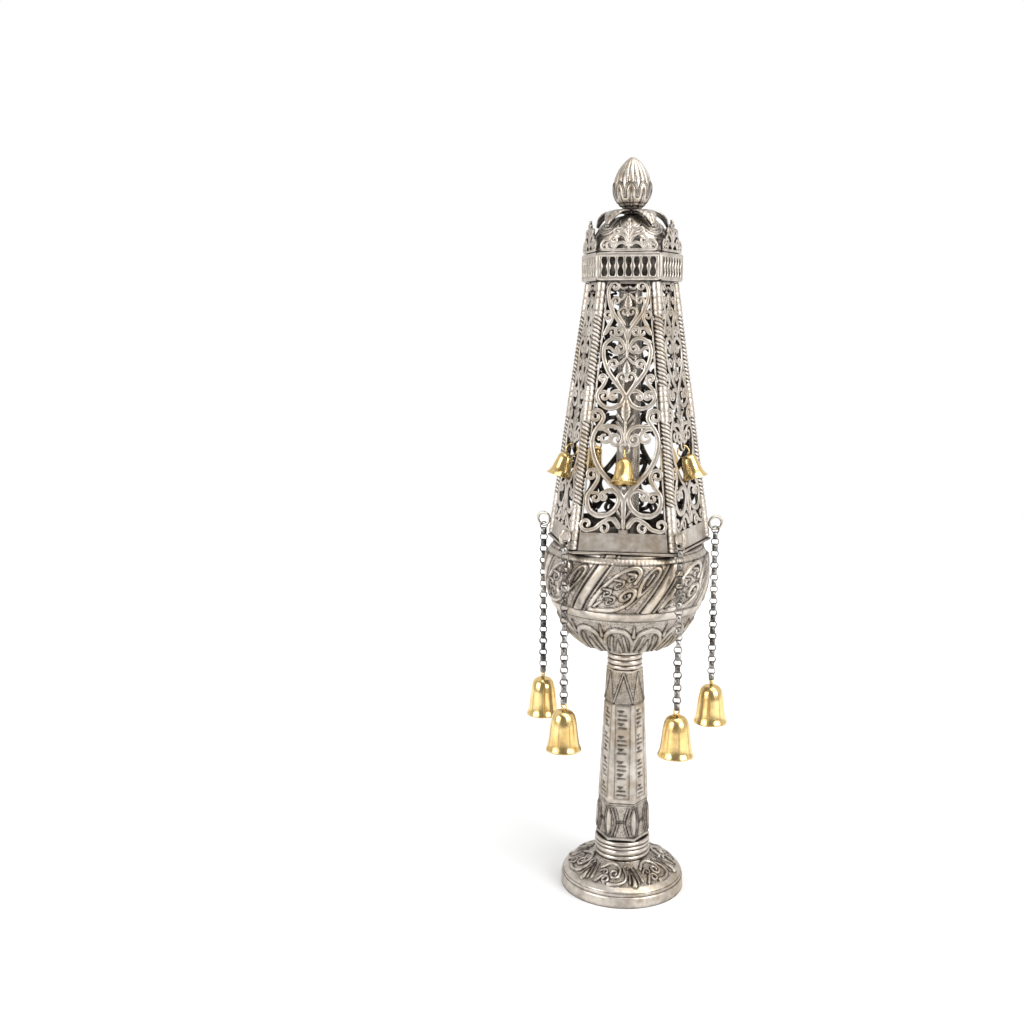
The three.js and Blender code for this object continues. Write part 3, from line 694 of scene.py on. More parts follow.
def chase_arches(work, turn, z):
    """Round arches with a pointed petal inside each, and pointed ovals between them."""
    below = z < 161
    cell = 2 * math.pi / KNOP_ARCHES
    x = fold(turn + math.radians(3.5), KNOP_ARCHES) / cell * 18.5
    work.background(below, 0.15, 0.14)
    arch = work.seen_over(np.abs(x))
    hoop = arch.gap(curve([(0, 156.5), (4, 155.4), (7, 152.4), (8.6, 147.5), (9.2, 142)]), 1.6, 1.0)
    hoop = np.where(below, hoop, 3)
    arch.raise_(hoop, 0.9, 1.2)
    petals = ([(0, 142.5), (0, 150.2)], 2.6, 0.3), ([(5.6, 142.5), (3.2, 152.2)], 1.2, 0.8)
    for line, half, end in petals:
        arch.raise_(np.where(below, arch.gap(line, half, end), 3), 0.7, 1.0)
    oval = arch.gap([(9.25, 152.8), (9.25, 159)], 1.3, 0.4)
    arch.raise_(np.where(below, oval, 3), 0.8, 0.8)
    work.lift, work.patina_and_shade, work.ground = arch.lift, arch.patina_and_shade, arch.ground


# ---------------------------------------------------------------- tower
def base_plate():
    """A thin five-sided tray under the tower."""
    bottom, top = low("base_plate")[2], high("base_plate")[2]

    def edge(radius, count=24):
        at = radius * CORNERS
        share = np.linspace(0, 1, count, endpoint=False)[:, None]
        return np.vstack([a + (b - a) * share for a, b in zip(at, np.roll(at, -1, 0))])
    radius = 47.6
    rings = [(radius - 0.6, bottom), (radius, bottom + 0.25), (radius, top - 0.25),
             (radius - 0.5, top), (radius - 1.6, top - 0.35), (radius - 2.6, top - 0.35)]
    grid = np.stack([np.column_stack([edge(r), np.full(24 * SIDES, z)]) for r, z in rings])
    # Painted shade: darker on the lower edge and in the step inside the rim.
    tones = np.array([0.9, 0.2, 0.0, 0.0, 0.8, 0.3])
    skin = Skin().sheet(grid, tones[:, None] * np.ones(grid.shape[1]))
    skin.piece("base_plate_silver", "base_plate", plain)


def inner_tube():
    bottom, top = low("inner_tube")[2], high("inner_tube")[2]
    radius = 6.2
    skin = Skin()
    profile = straight_profile([(radius - 1, bottom), (radius, bottom + 0.3), (radius, top - 0.3),
                                (radius - 1, top)], 4)
    lathe(skin, profile, 48, shape=lambda z, a: 0.05 * np.sin(z / 7) * np.cos(2 * a))
    skin.piece("inner_tube_silver", "inner_tube", tube_silver)


POST_RADIUS = 2.5
POST_LENGTH = math.hypot(TOWER_TOP - TOWER_BASE, POST_CIRCLE_BOTTOM - POST_CIRCLE_TOP)
POST_LEAN = math.asin((POST_CIRCLE_BOTTOM - POST_CIRCLE_TOP) / POST_LENGTH)
STRANDS = 3
STRAND_PITCH = 2.1


def posts():
    """Rope twist between turned cushions."""
    height = np.linspace(0.1, POST_LENGTH - 0.2, 400)
    angles = around(24)
    turned = [0.1, 2.2, 5.0, 8.6, 12.4, 15.0, 18.4, 21.6, 23.4, 67, 69.5, 72.4, 77.4, 80.2, 83,
              85.4, 121.8, 124, 127.6, 130.6, 134, POST_LENGTH - 0.2]
    ropes = ((23.4, 67), (85.4, 121.8))
    joint = np.searchsorted(turned, height, side="right") - 1
    joint = np.clip(joint, 0, len(turned) - 2)
    first, last = np.array(turned)[joint], np.array(turned)[joint + 1]
    share = (height - first) / (last - first)
    cushion = np.sqrt(np.clip(1 - (2 * share - 1)**2, 0, 1))
    radius = POST_RADIUS * (0.86 + 0.18 * cushion**0.7)[:, None] + 0 * angles
    patina_and_shade = np.clip(1 - cushion * 2.2, 0, 1)[:, None] + 0 * angles
    roped = sum((height > a) & (height < b) for a, b in ropes).astype(bool)
    phase = (STRANDS * angles[None] / (2 * math.pi) + height[:, None] / STRAND_PITCH) % 1
    strand = (0.5 - 0.5 * np.cos(2 * math.pi * phase))**0.6
    radius = np.where(roped[:, None], POST_RADIUS * (0.72 + 0.32 * strand), radius)
    patina_and_shade = np.where(roped[:, None], np.clip(1.15 - strand * 1.5, 0, 1), patina_and_shade)
    grid = np.stack([radius * np.sin(angles), -radius * np.cos(angles),
                     height[:, None] + 0 * radius], -1)
    place = (Matrix.Translation((0, -POST_CIRCLE_BOTTOM, TOWER_BASE))
             @ Matrix.Rotation(-POST_LEAN, 4, "X"))
    Skin().sheet(grid, patina_and_shade).on_each("post_rope", "post", place, openwork, CORNER)


# ---------------------------------------------------------------- panels
PANEL_RISE = TOWER_TOP - TOWER_BASE
PANEL_LENGTH = math.hypot(PANEL_RISE, (POST_CIRCLE_BOTTOM - POST_CIRCLE_TOP) * APOTHEM)
PANEL_LEAN = math.acos(PANEL_RISE / PANEL_LENGTH)
PANEL_THICK = 1.7
EDGE_CLEAR = 2.8         # from a post's axis to the panel's edge
STEM_SWELL = 1.12        # stems are this much wider than their drawn widths


def panel_half(height):
    """Half the panel's width at a height above the floor."""
    circle = np.interp(height, [TOWER_BASE, TOWER_TOP], [POST_CIRCLE_BOTTOM, POST_CIRCLE_TOP])
    return circle * math.sin(TURN / 2) - EDGE_CLEAR


# Right-hand half of a panel: points (across, height above the floor), the middle of the coil
# that ends it, and the stem's width at its start and at its end.
SCROLLS = [
    # foot scrolls
    ([(1.8, 210), (4.5, 213.8), (7, 215), (10.5, 213.3), (14.5, 210), (18, 208.9)],
     (19.2, 212.0), 2.3, 1.7),
    ([(13.5, 211.4), (12.3, 212.4)], (10.1, 210.2), 1.6, 1.5),
    # kidney loop with its two inner coils
    ([(14.5, 216.8), (9, 216.9), (5, 219.5), (2.8, 223.4), (2.7, 226.5), (4.5, 228.8),
      (7.5, 229.6), (10.2, 228.5)], (10.3, 226.3), 2.7, 1.7),
    ([(9, 216.9), (13.5, 216.6), (17.5, 219), (19, 223), (18.6, 227), (16.6, 230),
      (14.4, 233.4), (13.3, 236.5), (14.3, 239.2)], (16.8, 237.3), 2.7, 1.6),
    ([(18.8, 225), (17.8, 228), (15, 228.2)], (14.6, 225.7), 1.7, 1.6),
    # big heart
    ([(0, 223.6), (1.3, 226.5), (4.4, 230.8), (8.6, 235.2), (12.6, 240.2), (15.3, 245.2),
      (16.8, 251), (16.8, 256), (15.3, 260), (12.5, 264), (11.3, 267), (12.6, 269.6)],
     (15.2, 267.3), 2.8, 1.8),
    ([(13, 262.3), (9, 262.3), (5, 262), (2.2, 259.8), (1.3, 256.4), (2.5, 253.3)],
     (4.7, 255.9), 2.0, 1.6),
    ([(14, 260.5), (12, 261), (9.7, 260)], (10.5, 256.6), 1.8, 1.6),
    # crossing and side loops
    ([(0.2, 278.4), (2.5, 273.8), (6, 271.7), (9.5, 271.6), (13, 273.7), (14.8, 277),
      (14.2, 280), (12, 283), (10.4, 286)], (12.4, 286.6), 2.3, 1.6),
    ([(14.4, 279), (12, 279.9)], (11.2, 277.6), 1.7, 1.5),
    ([(2.4, 279.6), (5.5, 280.3), (8, 278.8)], (6.8, 277.4), 1.9, 1.5),
    # upper heart
    ([(0, 276.9), (3, 281.5), (6.5, 286), (9.8, 291), (11.8, 297), (12, 301.5), (10.5, 305),
      (7, 307), (3.5, 306.2), (1.6, 303.5)], (3.8, 301.9), 2.4, 1.7),
    ([(11.4, 302), (8.8, 302.2), (6.9, 300.3)], (5.4, 301.0), 1.6, 1.2),
    ([(1.0, 279), (3.5, 283), (5, 286.4), (3.8, 288.7)], (1.8, 287.3), 1.6, 1.2),
    ([(8.6, 288.6), (9.6, 292.5), (8.6, 295.2)], (6.7, 293.8), 1.8, 1.3),
    # top tier
    ([(0, 306), (1.5, 311), (4.5, 315.5), (7.5, 320), (9.5, 325), (10.1, 331), (8.6, 334.6)],
     (6.6, 333.2), 2.2, 1.5),
    ([(0.9, 309), (2.4, 312.2), (5, 312.4)], (4.2, 310.2), 1.8, 1.4),
    ([(12.0, 308.8), (9.5, 311.5)], (7.6, 309.9), 1.7, 1.3),
    ([(12.2, 308.6), (10.3, 312.4), (8.0, 317), (8.6, 320)], (10.2, 318.5), 1.8, 1.3),
    ([(1.2, 313.4), (3.9, 317.6), (4.8, 320.4), (3.4, 321.9)], (1.8, 320.3), 1.4, 1.1),
    ([(7.3, 320.4), (8.5, 325), (7.4, 327.2)], (5.9, 325.9), 1.5, 1.2),
]
# Straight or bent stems without coils: points, width at the start and at the end.
STEMS = [
    ([(6.0, 294.6), (3.3, 294.4), (0.4, 297.4)], 1.7, 1.5),
    ([(5.4, 326.6), (3.0, 326.9), (0.4, 329.8)], 1.6, 1.4),
    ([(0.2, 333.3), (2.4, 332.2), (4.6, 333.4), (6.2, 334.8)], 1.4, 1.3),
]
# Small leaves at the trunk: root, tip and half width.
LEAVES = [
    ((0.7, 211.2), (5.4, 216.2), 1.15), ((0.6, 214.6), (4.2, 220.3), 1.1),
    ((0.5, 259.6), (4.9, 264.9), 1.15), ((0.3, 262.8), (4.9, 268.8), 1.15),
    ((0.3, 298.6), (4.2, 296.8), 0.9), ((0.4, 301), (4.4, 298.6), 0.9),
    ((0.3, 330), (4.0, 330.6), 0.8), ((0.3, 332), (3.6, 331.6), 0.7),
]
# Pointed leaves on the axis: root, tip and half width.
AXIS_LEAVES = [((264.4, 277.2), 2.6), ((286.6, 296.2), 2.1), ((320.2, 329.6), 2.1)]


def panel_skin():
    """The pierced plate, x across, y up its slope and z outwards."""
    skin = Skin()
    stretch = PANEL_LENGTH / PANEL_RISE

    def flat(points):
        points = np.asarray(points, float)
        return np.stack([points[:, 0], (points[:, 1] - TOWER_BASE) * stretch], 1)

    def both(line):
        return line, line * (-1, 1)

    foot_top = TOWER_BASE + 9.3
    rail = 0.95
    for sign in (1, -1):
        rail_line = [(sign * (panel_half(h) - rail / 2), h)
                     for h in np.linspace(TOWER_BASE + 0.1, TOWER_TOP - 0.1, 50)]
        bar(skin, flat(rail_line), rail, PANEL_THICK * 0.6)
    slab(skin, flat([(-panel_half(TOWER_BASE), TOWER_BASE), (panel_half(TOWER_BASE), TOWER_BASE),
                     (panel_half(foot_top), foot_top), (-panel_half(foot_top), foot_top)]),
         PANEL_THICK * 0.8)
    head = TOWER_TOP - 1.5
    slab(skin, flat([(-panel_half(head), head), (panel_half(head), head),
                     (panel_half(TOWER_TOP), TOWER_TOP), (-panel_half(TOWER_TOP), TOWER_TOP)]),
         PANEL_THICK * 0.8)
    for i, (points, coil, wide, end_wide) in enumerate(SCROLLS):
        coiled = scroll(flat(points), flat([coil])[0])
        for line in both(coiled):
            bar(skin, line, wide * STEM_SWELL, PANEL_THICK - 0.02 * (i % 5),
                end_wide * STEM_SWELL)
            dome_bead(skin, line[-1], end_wide * 0.62, PANEL_THICK * 0.97)
    for points, wide, end_wide in STEMS:
        for line in both(curve(flat(points))):
            bar(skin, line, wide, PANEL_THICK * 0.93, end_wide)
    for root, tip, half in LEAVES:
        for line in both(flat([root, tip])):
            blade(skin, line, lambda s, h=half: h * (0.35 + 0.75 * s) * math.sqrt(1 - s**6),
                  PANEL_THICK * 1.02, veins=4, rows=14)
    for (root, tip), half in AXIS_LEAVES:
        blade(skin, flat([(0, root), (0, tip)]),
              lambda s, h=half: h * math.sin(math.pi * s**0.8)**0.8 + 0.15,
              PANEL_THICK * 1.04, veins=6, rows=30)
    trunk = [((0, 209.6), (0, 224.5), 2.0, 3.0), ((0, 252), (0, 265), 1.7, 1.4),
             ((0, 297), (0, 312), 1.6, 2.2)]
    for start, end, wide, end_wide in trunk:
        bar(skin, curve(flat([start, end])), wide, PANEL_THICK * 0.98, end_wide)
    for y, half in ((208.4, 2.3), (231, 1.35), (285.5, 1.2), (318.6, 1.0)):
        if half > 2:
            slab(skin, flat([(-half, y - 1.1), (half, y - 1.1), (half, y + 1.1),
                             (-half, y + 1.1)]), PANEL_THICK * 1.02)
        else:
            dome_bead(skin, flat([(0, y)])[0], half, PANEL_THICK)
    tab = flat([(0, 251.0)])[0]
    angle = np.linspace(0, 2 * math.pi, 29)
    ring = tab + 2.4 * np.stack([np.cos(angle), np.sin(angle)], 1)
    bar(skin, ring, 1.35, PANEL_THICK)
    return skin


def panels():
    place = (Matrix.Translation((0, -POST_CIRCLE_BOTTOM * APOTHEM, TOWER_BASE))
             @ Matrix.Rotation(math.pi / 2 - PANEL_LEAN, 4, "X"))
    panel_skin().on_each("panel_openwork", "panel", place, openwork)


# ---------------------------------------------------------------- gallery, crests and dome
GALLERY_RADIUS = 28.5
GALLERY_OPENINGS = 7


def gallery():
    """Balusters between two rails on each side, over a plain floor."""
    bottom, top = low("gallery")[2], high("gallery")[2]
    apothem = GALLERY_RADIUS * APOTHEM
    half = GALLERY_RADIUS * math.sin(TURN / 2)
    side = Skin()
    wall = 1.4

    def rail(z, tall, proud):
        line = np.array([(-half + 0.1, z), (half - 0.1, z)])
        bar(side, curve(line, 2), tall, wall + proud)
    rail(bottom + 1.1, 2.2, -0.1)
    rail(top - 1.2, 2.4, 0.0)
    pitch = 2 * (half - 2.4) / GALLERY_OPENINGS
    for i in range(GALLERY_OPENINGS + 1):
        x = -half + 2.4 + i * pitch
        shape = lambda s: 0.55 + 0.95 * math.exp(-((s - 0.5) / 0.15)**2) + 1.5 * (2 * s - 1)**6
        blade(side, [(x, bottom + 1.6), (x, top - 1.8)], shape, wall * 0.95, rows=26, columns=7)
    for sign in (-1, 1):
        bar(side, curve([(sign * (half - 1.2), bottom + 0.5), (sign * (half - 1.2), top - 0.5)], 2),
            2.2, wall * 0.97)
    skin = Skin()
    place = Matrix.Translation((0, -(apothem - wall), 0)) @ Matrix.Rotation(math.pi / 2, 4, "X")
    for i in range(SIDES):
        skin.merge(side.moved(turned(i) @ place))
    floor = bottom + 1.2
    rings = [(GALLERY_RADIUS - 1.2, bottom), (GALLERY_RADIUS - 1.0, floor), (2, floor)]
    grid = np.stack([np.column_stack([CORNERS * r, np.full(SIDES, z)]) for r, z in rings])
    # Painted shade: the floor inside the gallery is darkened.
    skin.sheet(grid, 0.9)
    skin.piece("gallery_pierced", "gallery", openwork)


def crests():
    """Scrollwork on each side of the gallery, with a flower at its head."""
    base = high("gallery")[2] + 0.3
    top = high("crest_1")[2] - base
    thick = 1.5
    skin = Skin()
    bar(skin, curve([(-14.4, 0.8), (14.4, 0.8)], 1.5), 1.5, thick * 0.9)
    halves = [
        ([(0.8, 2.6), (2.8, 4.4), (5.6, 3.8), (7.6, 1.4)], (9.4, 3.2), 1.7, 1.2),
        ([(7.2, 1.4), (9.6, 5.2), (12.2, 5.6), (14.0, 3.4)], (12.2, 2.6), 1.6, 1.1),
        ([(0.6, 4), (2.4, 7.6), (6.2, 9.0), (9.0, 7.0)], (7.4, 5.6), 1.7, 1.2),
        ([(0.4, 6.5), (2.6, 10.6), (5.8, 11.6)], (6.0, 9.8), 1.5, 1.1),
    ]
    for points, coil, wide, end_wide in halves:
        coiled = scroll(points, np.array(coil), 1.0)
        for line in (coiled, coiled * (-1, 1)):
            bar(skin, line, wide, thick, end_wide)
            dome_bead(skin, line[-1], end_wide * 0.62, thick)
    bar(skin, curve([(0, 1), (0, top - 4)]), 1.6, thick * 0.95)
    flower = np.array([0, top - 4.6])
    for k in range(8):
        a = k * math.pi / 4
        way = np.array([math.cos(a), math.sin(a)])
        blade(skin, [flower + way * 0.8, flower + way * 3.1],
              lambda s: 0.5 + 0.65 * math.sin(math.pi * min(1, s + 0.1)), thick, rows=9, columns=5)
    dome_bead(skin, flower, 1.35, thick * 1.15)
    dome_bead(skin, (0, top - 1.0), 1.0, thick)
    place = Matrix.Translation((0, high("crest_1")[1], base)) @ Matrix.Rotation(math.pi / 2, 4, "X")
    skin.on_each("crest_scrolls", "crest", place, openwork)


def dome():
    """A drum and a low dome chased with swags."""
    bottom, top = low("dome")[2], high("dome")[2]
    profile = smooth_profile([(19.4, 357.6), (18.6, 360.4), (16.4, 363.8), (12.6, 367.0),
                              (8, 369.2), (4, top)])
    drum = straight_profile([(19, bottom), (19, 356.6), (19.5, 357.1)])
    outside = np.vstack([drum, profile])
    angles = around(300)
    length = along(outside)[:, None]
    start = along(drum)[-1]
    work = Chasing(fold(angles, 8)[None] * 18 + 0 * length, length - start + 0 * angles)
    work.cut(np.abs(work.v - 0.2), 0.4, 0.35)
    # Painted shadow: the drum inside the gallery is darkened, which makes the gallery's openings
    # dark.
    work.patina_and_shade = np.where(outside[:, 1:] < high("gallery")[2] - 1.5, 0.92, work.patina_and_shade)
    mirror = work.seen_over(np.abs(work.u))
    for shift, half in ((0, 0.9), (3.2, 0.8)):
        swag = curve([(0, 2.4 + shift), (3.6, 3.4 + shift), (6.6, 6.4 + shift), (7.2, 9 + shift)])
        mirror.form(swag, half, 0.5, 0.5, 0.7)
    mirror.form([(0, 8.5), (0, 13)], 1.5, 0.8, 0.6, 0.9)
    skin = Skin().sheet(turned_grid(outside, angles, mirror.lift), mirror.patina_and_shade, mirror.ground)
    skin.piece("dome_chased", "dome", chased)


def leaf_rosette():
    """Five veined leaves that arch out from under the bud and droop."""
    base = high("dome")[2] + 0.3
    reach = 20.0
    spine = curve([(2, 1.0), (8, 1.7), (13.5, 1.0), (17.5, -1.8), (reach - 0.4, -6.0)], 0.6)
    share = along(spine) / along(spine)[-1]
    half = np.array([0.6 + 4.4 * math.sin(math.pi * min(1.0, s * 0.93 + 0.05)) for s in share])
    across = np.linspace(-1, 1, 15)
    vein = np.exp(-(across / 0.09)**2)
    side = (0.5 + 0.5 * np.cos(2 * math.pi * (share[:, None] * 8 - np.abs(across) * 1.5)))**3
    way = frames(spine)
    out = np.stack([-way[:, 1], way[:, 0]], 1)
    front = 0.75 - 0.35 * across**2 - 0.25 * vein - 0.18 * side * (np.abs(across) > 0.12)
    leaf = np.zeros((len(spine), 30, 3))
    for k, (lift, order) in enumerate(((front, across), (0 * front - 0.25 - 0.35 * across**2,
                                                         across[::-1]))):
        block = leaf[:, 15 * k:15 * (k + 1)]
        block[:, :, 0] = half[:, None] * order
        block[:, :, 1] = -(spine[:, :1] + out[:, :1] * lift)
        block[:, :, 2] = base + spine[:, 1:] + out[:, 1:] * lift
    # Painted shade: the undersides of the leaves are darkened.
    patina_and_shade = np.full((len(spine), 30), 0.85)
    patina_and_shade[:, :15] = np.clip(0.8 * vein + 0.7 * side * (np.abs(across) > 0.12), 0, 1)
    one = Skin().sheet(leaf, patina_and_shade)
    skin = Skin()
    for i in range(SIDES):
        skin.merge(one.moved(turned(i + CORNER)))
    lathe(skin, [(3.4, base), (4.4, base + 0.5), (4.4, base + 1.3), (3.6, base + 1.8)], 40)
    skin.piece("leaf_rosette_veined", "leaf_rosette", chased)


def bud():
    """A bud with fine flutes above a calyx of petals."""
    bottom, top = low("bud")[2], high("bud")[2]
    profile = smooth_profile([(3.9, bottom), (5.4, 374.2), (8.3, 377.4), (9.9, 381.4),
                              (10.05, 385), (9.0, 389.6), (6.8, 394), (3.8, 397.6), (1.2, 399.6)],
                             0.45)
    angles = around(180)
    z = profile[:, 1:] + 0 * angles
    turn = angles[None] + 0 * z
    flutes = np.abs(np.cos(turn * 9))
    upper = np.clip((z - 384.5) / 1.5, 0, 1)
    fading = np.clip((top - 1 - z) / 7, 0, 1)
    lift = -0.6 * (1 - flutes**0.45) * upper * fading
    tone = np.clip(1 - flutes * 3.6, 0, 1) * upper * fading**0.5
    work = Chasing(np.abs(fold(turn, 9)) * 9.6, z)
    work.lift, work.patina_and_shade = lift, tone
    petal = curve([(0, 386.6), (1.6, 385.4), (2.7, 382.6), (3.0, 379)])
    work.form(petal, 0.45, 0.45, 0.35, 0.4)
    work.form([(0, 375), (0, 383.4)], 1.0, 0.2, 0.4, 0.7)
    for level in (374.4, 376):
        work.cut(np.abs(z - level), 0.3, 0.3)
    skin = Skin().sheet(turned_grid(profile, angles, work.lift), work.patina_and_shade)
    skin.piece("bud_fluted", "bud", chased)


# ---------------------------------------------------------------- rings, chains and bells
def wire_loop(half_wide, half_tall, wire, count=22, around_wire=9):
    """A closed wire in the XZ plane: an oval, or a link with straight sides."""
    turn = np.linspace(0, 2 * math.pi, count, endpoint=False)
    inner_wide, inner_tall = half_wide - wire, half_tall - wire
    straight = max(0.0, inner_tall - inner_wide)
    x = inner_wide * np.cos(turn)
    z = (inner_tall - straight) * np.sin(turn) + straight * np.sign(np.round(np.sin(turn), 6))
    way = np.stack([-np.sin(turn) / inner_wide, np.cos(turn) / inner_tall], 1)
    out = np.stack([np.cos(turn), np.sin(turn)], 1)
    section = np.linspace(0, 2 * math.pi, around_wire, endpoint=False)
    grid = np.zeros((count, around_wire, 3))
    grid[:, :, 0] = x[:, None] + out[:, :1] * wire * np.cos(section)
    grid[:, :, 1] = wire * np.sin(section)
    grid[:, :, 2] = z[:, None] + out[:, 1:] * wire * np.cos(section)
    return Skin().sheet(grid, 0.0, wrap=True)


RING_REACH = (np.linalg.norm(low("corner_ring_3")[:2] + high("corner_ring_3")[:2]) / 2)
RING_HEIGHT = (low("corner_ring_1")[2] + high("corner_ring_1")[2]) / 2
RING_OUTER = (high("corner_ring_1")[2] - low("corner_ring_1")[2]) / 2
LINK_PITCH = 3.35
LINK_WIRE = 0.32         # half the thickness of a link's band
LINK_HALF = 2.35         # half a link's width
LINK_BAND = 4            # how much broader the band is than thick


def rings_and_chains():
    reach = RING_OUTER + 0.7
    ring = wire_loop(reach, reach, 0.8, 32).moved(Matrix.Rotation(math.pi / 2, 4, "Z"))
    place = Matrix.Translation((0, -RING_REACH, RING_HEIGHT))
    ring.on_each("corner_ring_wire", "corner_ring", place, plain, CORNER)
    bottom, top = low("chain_1")[2], high("chain_1")[2]
    count = round((top - bottom - 2 * LINK_WIRE) / LINK_PITCH)
    pitch = (top - bottom - 2 * 2 * LINK_WIRE) / count
    link = wire_loop(LINK_HALF, pitch / 2 + 2 * LINK_WIRE, LINK_WIRE, 20, 8)
    link = link.moved(Matrix.Diagonal((1, LINK_BAND, 1, 1)))
    for i in range(SIDES):
        skin = Skin()
        for k in range(count):
            height = top - 2 * LINK_WIRE - pitch * (k + 0.5)
            turn = math.radians(90 * (k % 2) + 8 * math.sin(2.3 * k + i)) - (i + CORNER) * TURN
            skin.merge(link.moved(turned(i + CORNER) @ Matrix.Translation((0, -RING_REACH, height))
                                  @ Matrix.Rotation(turn, 4, "Z")))
        skin.piece(f"chain_links_{i + 1}", f"chain_{i + 1}", oxidised, "oxidised_chain")


def bell_skin(radius, height, wall, shape):
    """A bell that hangs from z = 0, darker in soft upright stripes towards its lip."""
    count, stripes = 64, 8
    outline = curve([(radius * r, -height * d) for r, d in shape], 0.7)
    inside = outline[::-1] - [wall, 0]
    inside = inside[inside[:, 0] > radius * 0.2]
    profile = np.vstack([outline, [(outline[-1, 0] - wall / 2, -height)], inside,
                         [(0.4, inside[-1, 1] - wall)]])
    angles = around(count)
    share = np.clip(-profile[:, 1:] / height, 0, 1)
    wave = np.abs(np.cos(stripes / 2 * angles))**0.7
    patina_and_shade = np.clip((0.45 - wave) * 1.2, 0, 1) * (share > 0.08)
    # Painted shade: the inside of the bell is darkened.
    patina_and_shade[len(outline) + 1:] = 0.6
    grid = np.vstack([turned_grid(profile, angles), np.zeros((1, count, 3))])
    grid[-1, :, 2] = grid[0, :, 2]
    return Skin().sheet(grid, np.vstack([patina_and_shade, np.zeros((1, count))]), wrap=True)


def outer_bells():
    """They hang mouth down from the chains."""
    radius, height, wall, ring, wire = 9.5, 22.0, 0.9, 2.3, 0.55
    shape = [(0.1, 0), (0.42, 0.04), (0.62, 0.14), (0.72, 0.3), (0.78, 0.5), (0.84, 0.72),
             (0.9, 0.87), (0.985, 0.96), (1, 1)]
    body = bell_skin(radius, height, wall, shape)
    body.merge(wire_loop(ring, ring, wire, 24).moved(Matrix.Translation((0, 0, ring - wire))))
    crown = high("outer_bell_1")[2] - 2 * ring + wire
    place = Matrix.Translation((0, -RING_REACH, crown))
    body.on_each("outer_bell_gilt", "outer_bell", place, gilt, CORNER)


TAB_HEIGHT = 52.6        # of the pierced tab, up the panel's slope
BELL_LEAN = math.radians(12)


def inner_bells():
    """They hang outside the panels, from a loop through each pierced tab."""
    radius, height, wall, ring, wire = 7.2, 12.8, 0.8, 3.6, 0.45
    loop_out, loop_below, crown_out, crown_below = 1.2, 2.9, 2.4, 2.0
    shape = [(0.12, 0), (0.36, 0.03), (0.52, 0.12), (0.6, 0.3), (0.67, 0.55), (0.78, 0.8),
             (0.95, 0.96), (1, 1)]
    body = bell_skin(radius, height, wall, shape)
    back = crown_out * math.cos(BELL_LEAN) - crown_below * math.sin(BELL_LEAN)
    up = crown_below * math.cos(BELL_LEAN) + crown_out * math.sin(BELL_LEAN)
    loop = wire_loop(ring, ring, wire, 28).moved(Matrix.Rotation(math.pi / 2, 4, "Z"))
    body.merge(loop.moved(Matrix.Translation((0, back, up))))
    rise = TAB_HEIGHT - loop_below - crown_below
    out = loop_out + crown_out
    y = rise * math.sin(PANEL_LEAN) - out * math.cos(PANEL_LEAN) - POST_CIRCLE_BOTTOM * APOTHEM
    z = TOWER_BASE + rise * math.cos(PANEL_LEAN) + out * math.sin(PANEL_LEAN)
    place = Matrix.Translation((0, y, z)) @ Matrix.Rotation(-(PANEL_LEAN + BELL_LEAN), 4, "X")
    body.on_each("inner_bell_gilt", "inner_bell", place, gilt)


# ---------------------------------------------------------------- camera, light and floor
def studio_world():
    """White all round, and greyer in front of the object, which shapes the metal."""
    world = bpy.data.worlds.new("studio")
    world.use_nodes = True
    tree = world.node_tree
    around_it = tree.nodes.new("ShaderNodeTexCoord")
    split = tree.nodes.new("ShaderNodeSeparateXYZ")
    fade = tree.nodes.new("ShaderNodeMapRange")
    fade.interpolation_type = "SMOOTHSTEP"
    for key, value in (("From Min", -0.75), ("From Max", 0.25), ("To Min", 0.3), ("To Max", 1.0)):
        fade.inputs[key].default_value = value
    tree.links.new(around_it.outputs["Generated"], split.inputs[0])
    tree.links.new(split.outputs["Y"], fade.inputs["Value"])
    tree.links.new(fade.outputs[0], tree.nodes["Background"].inputs["Strength"])
    tree.nodes["Background"].inputs["Color"].default_value = rgb(1, 1, 1)
    bpy.context.scene.world = world


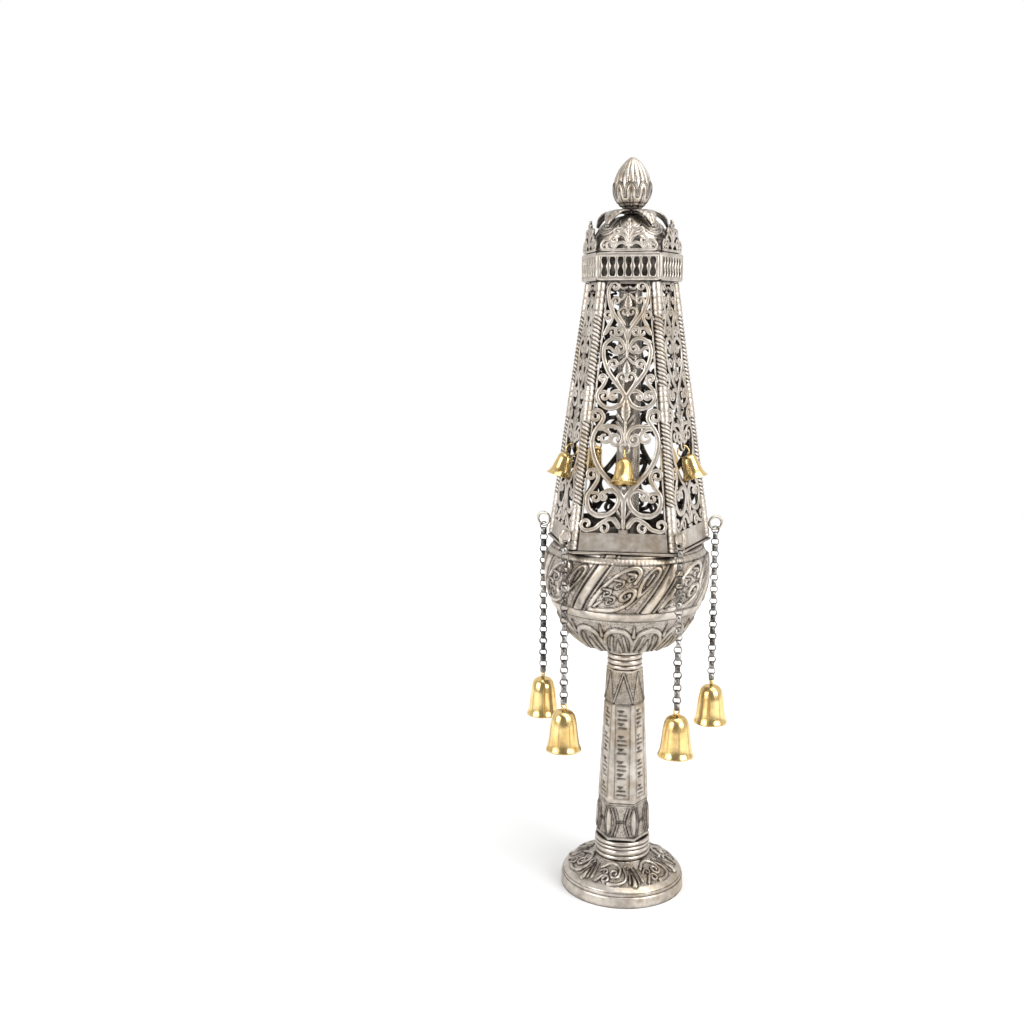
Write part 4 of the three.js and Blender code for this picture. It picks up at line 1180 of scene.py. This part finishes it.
def studio():
    """A pale floor under soft light, seen as the photograph sees it. The floor glows more the
    further it is from the middle, which is painted light.
    """
    turn, pitch = 0.1551, 0.1613
    side, away, height = 62.71, 638.87, 317.22
    data = bpy.data.cameras.new("camera")
    data.lens, data.sensor_width = 41.84, 36.0
    camera = bpy.data.objects.new("camera", data)
    camera.location = (np.array([away * math.sin(turn) - side * math.cos(turn),
                                 -away * math.cos(turn) - side * math.sin(turn), height]) * MM)
    camera.rotation_euler = (math.pi / 2 - pitch, 0, turn)
    bpy.context.scene.collection.objects.link(camera)
    bpy.context.scene.camera = camera

    lamps = [("left_box", (-1.1, -1.0, 0.7), 1.0, 16), ("right_box", (1.15, -0.85, 0.8), 1.0, 19),
             ("top_box", (0.4, -0.3, 1.6), 1.2, 16)]
    for name, place, size, power in lamps:
        light = bpy.data.lights.new(name, "AREA")
        light.size, light.energy = size, power
        lamp = bpy.data.objects.new(name, light)
        lamp.location = place
        lamp.visible_camera = False
        aim = Matrix.Translation((0, 0, 0.2)).translation - lamp.location
        lamp.rotation_euler = aim.to_track_quat("-Z", "Y").to_euler()
        bpy.context.scene.collection.objects.link(lamp)
    studio_world()
    bpy.context.scene.view_settings.view_transform = "Standard"

    n = Nodes("pale_floor_painted_glow")
    place = n.add("ShaderNodeTexCoord").outputs["Object"]
    tint = n.blend(n.noise(place, 60), rgb(0.72, 0.72, 0.72), rgb(0.75, 0.75, 0.75))
    away = n.add("ShaderNodeVectorMath", {0: place}, operation="LENGTH").outputs["Value"]
    # Painted light: the floor glows, more the further it is from the middle, so that its far part
    # turns white.
    painted_far_glow = n.remap(away, 0.2, 0.6, 0.0, 0.7)
    shader = n.add("ShaderNodeBsdfPrincipled", {
        "Base Color": tint, "Roughness": 0.6, "Emission Color": tint, "Emission Strength": painted_far_glow})
    n.add("ShaderNodeOutputMaterial", {"Surface": shader.outputs[0]})
    mesh = bpy.data.meshes.new("floor")
    reach = 1.25
    mesh.from_pydata([(-reach, -reach, 0), (reach, -reach, 0), (reach, reach, 0),
                      (-reach, reach, 0)], [], [(0, 1, 2, 3)])
    mesh.materials.append(n.material)
    floor = bpy.data.objects.new("floor", mesh)
    bpy.context.scene.collection.objects.link(floor)


studio()
foot()
collar("lower_collar_beads", "lower_collar", 15.5, [1.2, 1.6, 1.0, 1.2], bore=11.6)
shaft()
collar("upper_collar_beads", "upper_collar", 9.9, [1.2, 1.5, 1.5, 1.3])
knop()
base_plate()
inner_tube()
posts()
panels()
gallery()
crests()
dome()
leaf_rosette()
bud()
rings_and_chains()
outer_bells()
inner_bells()
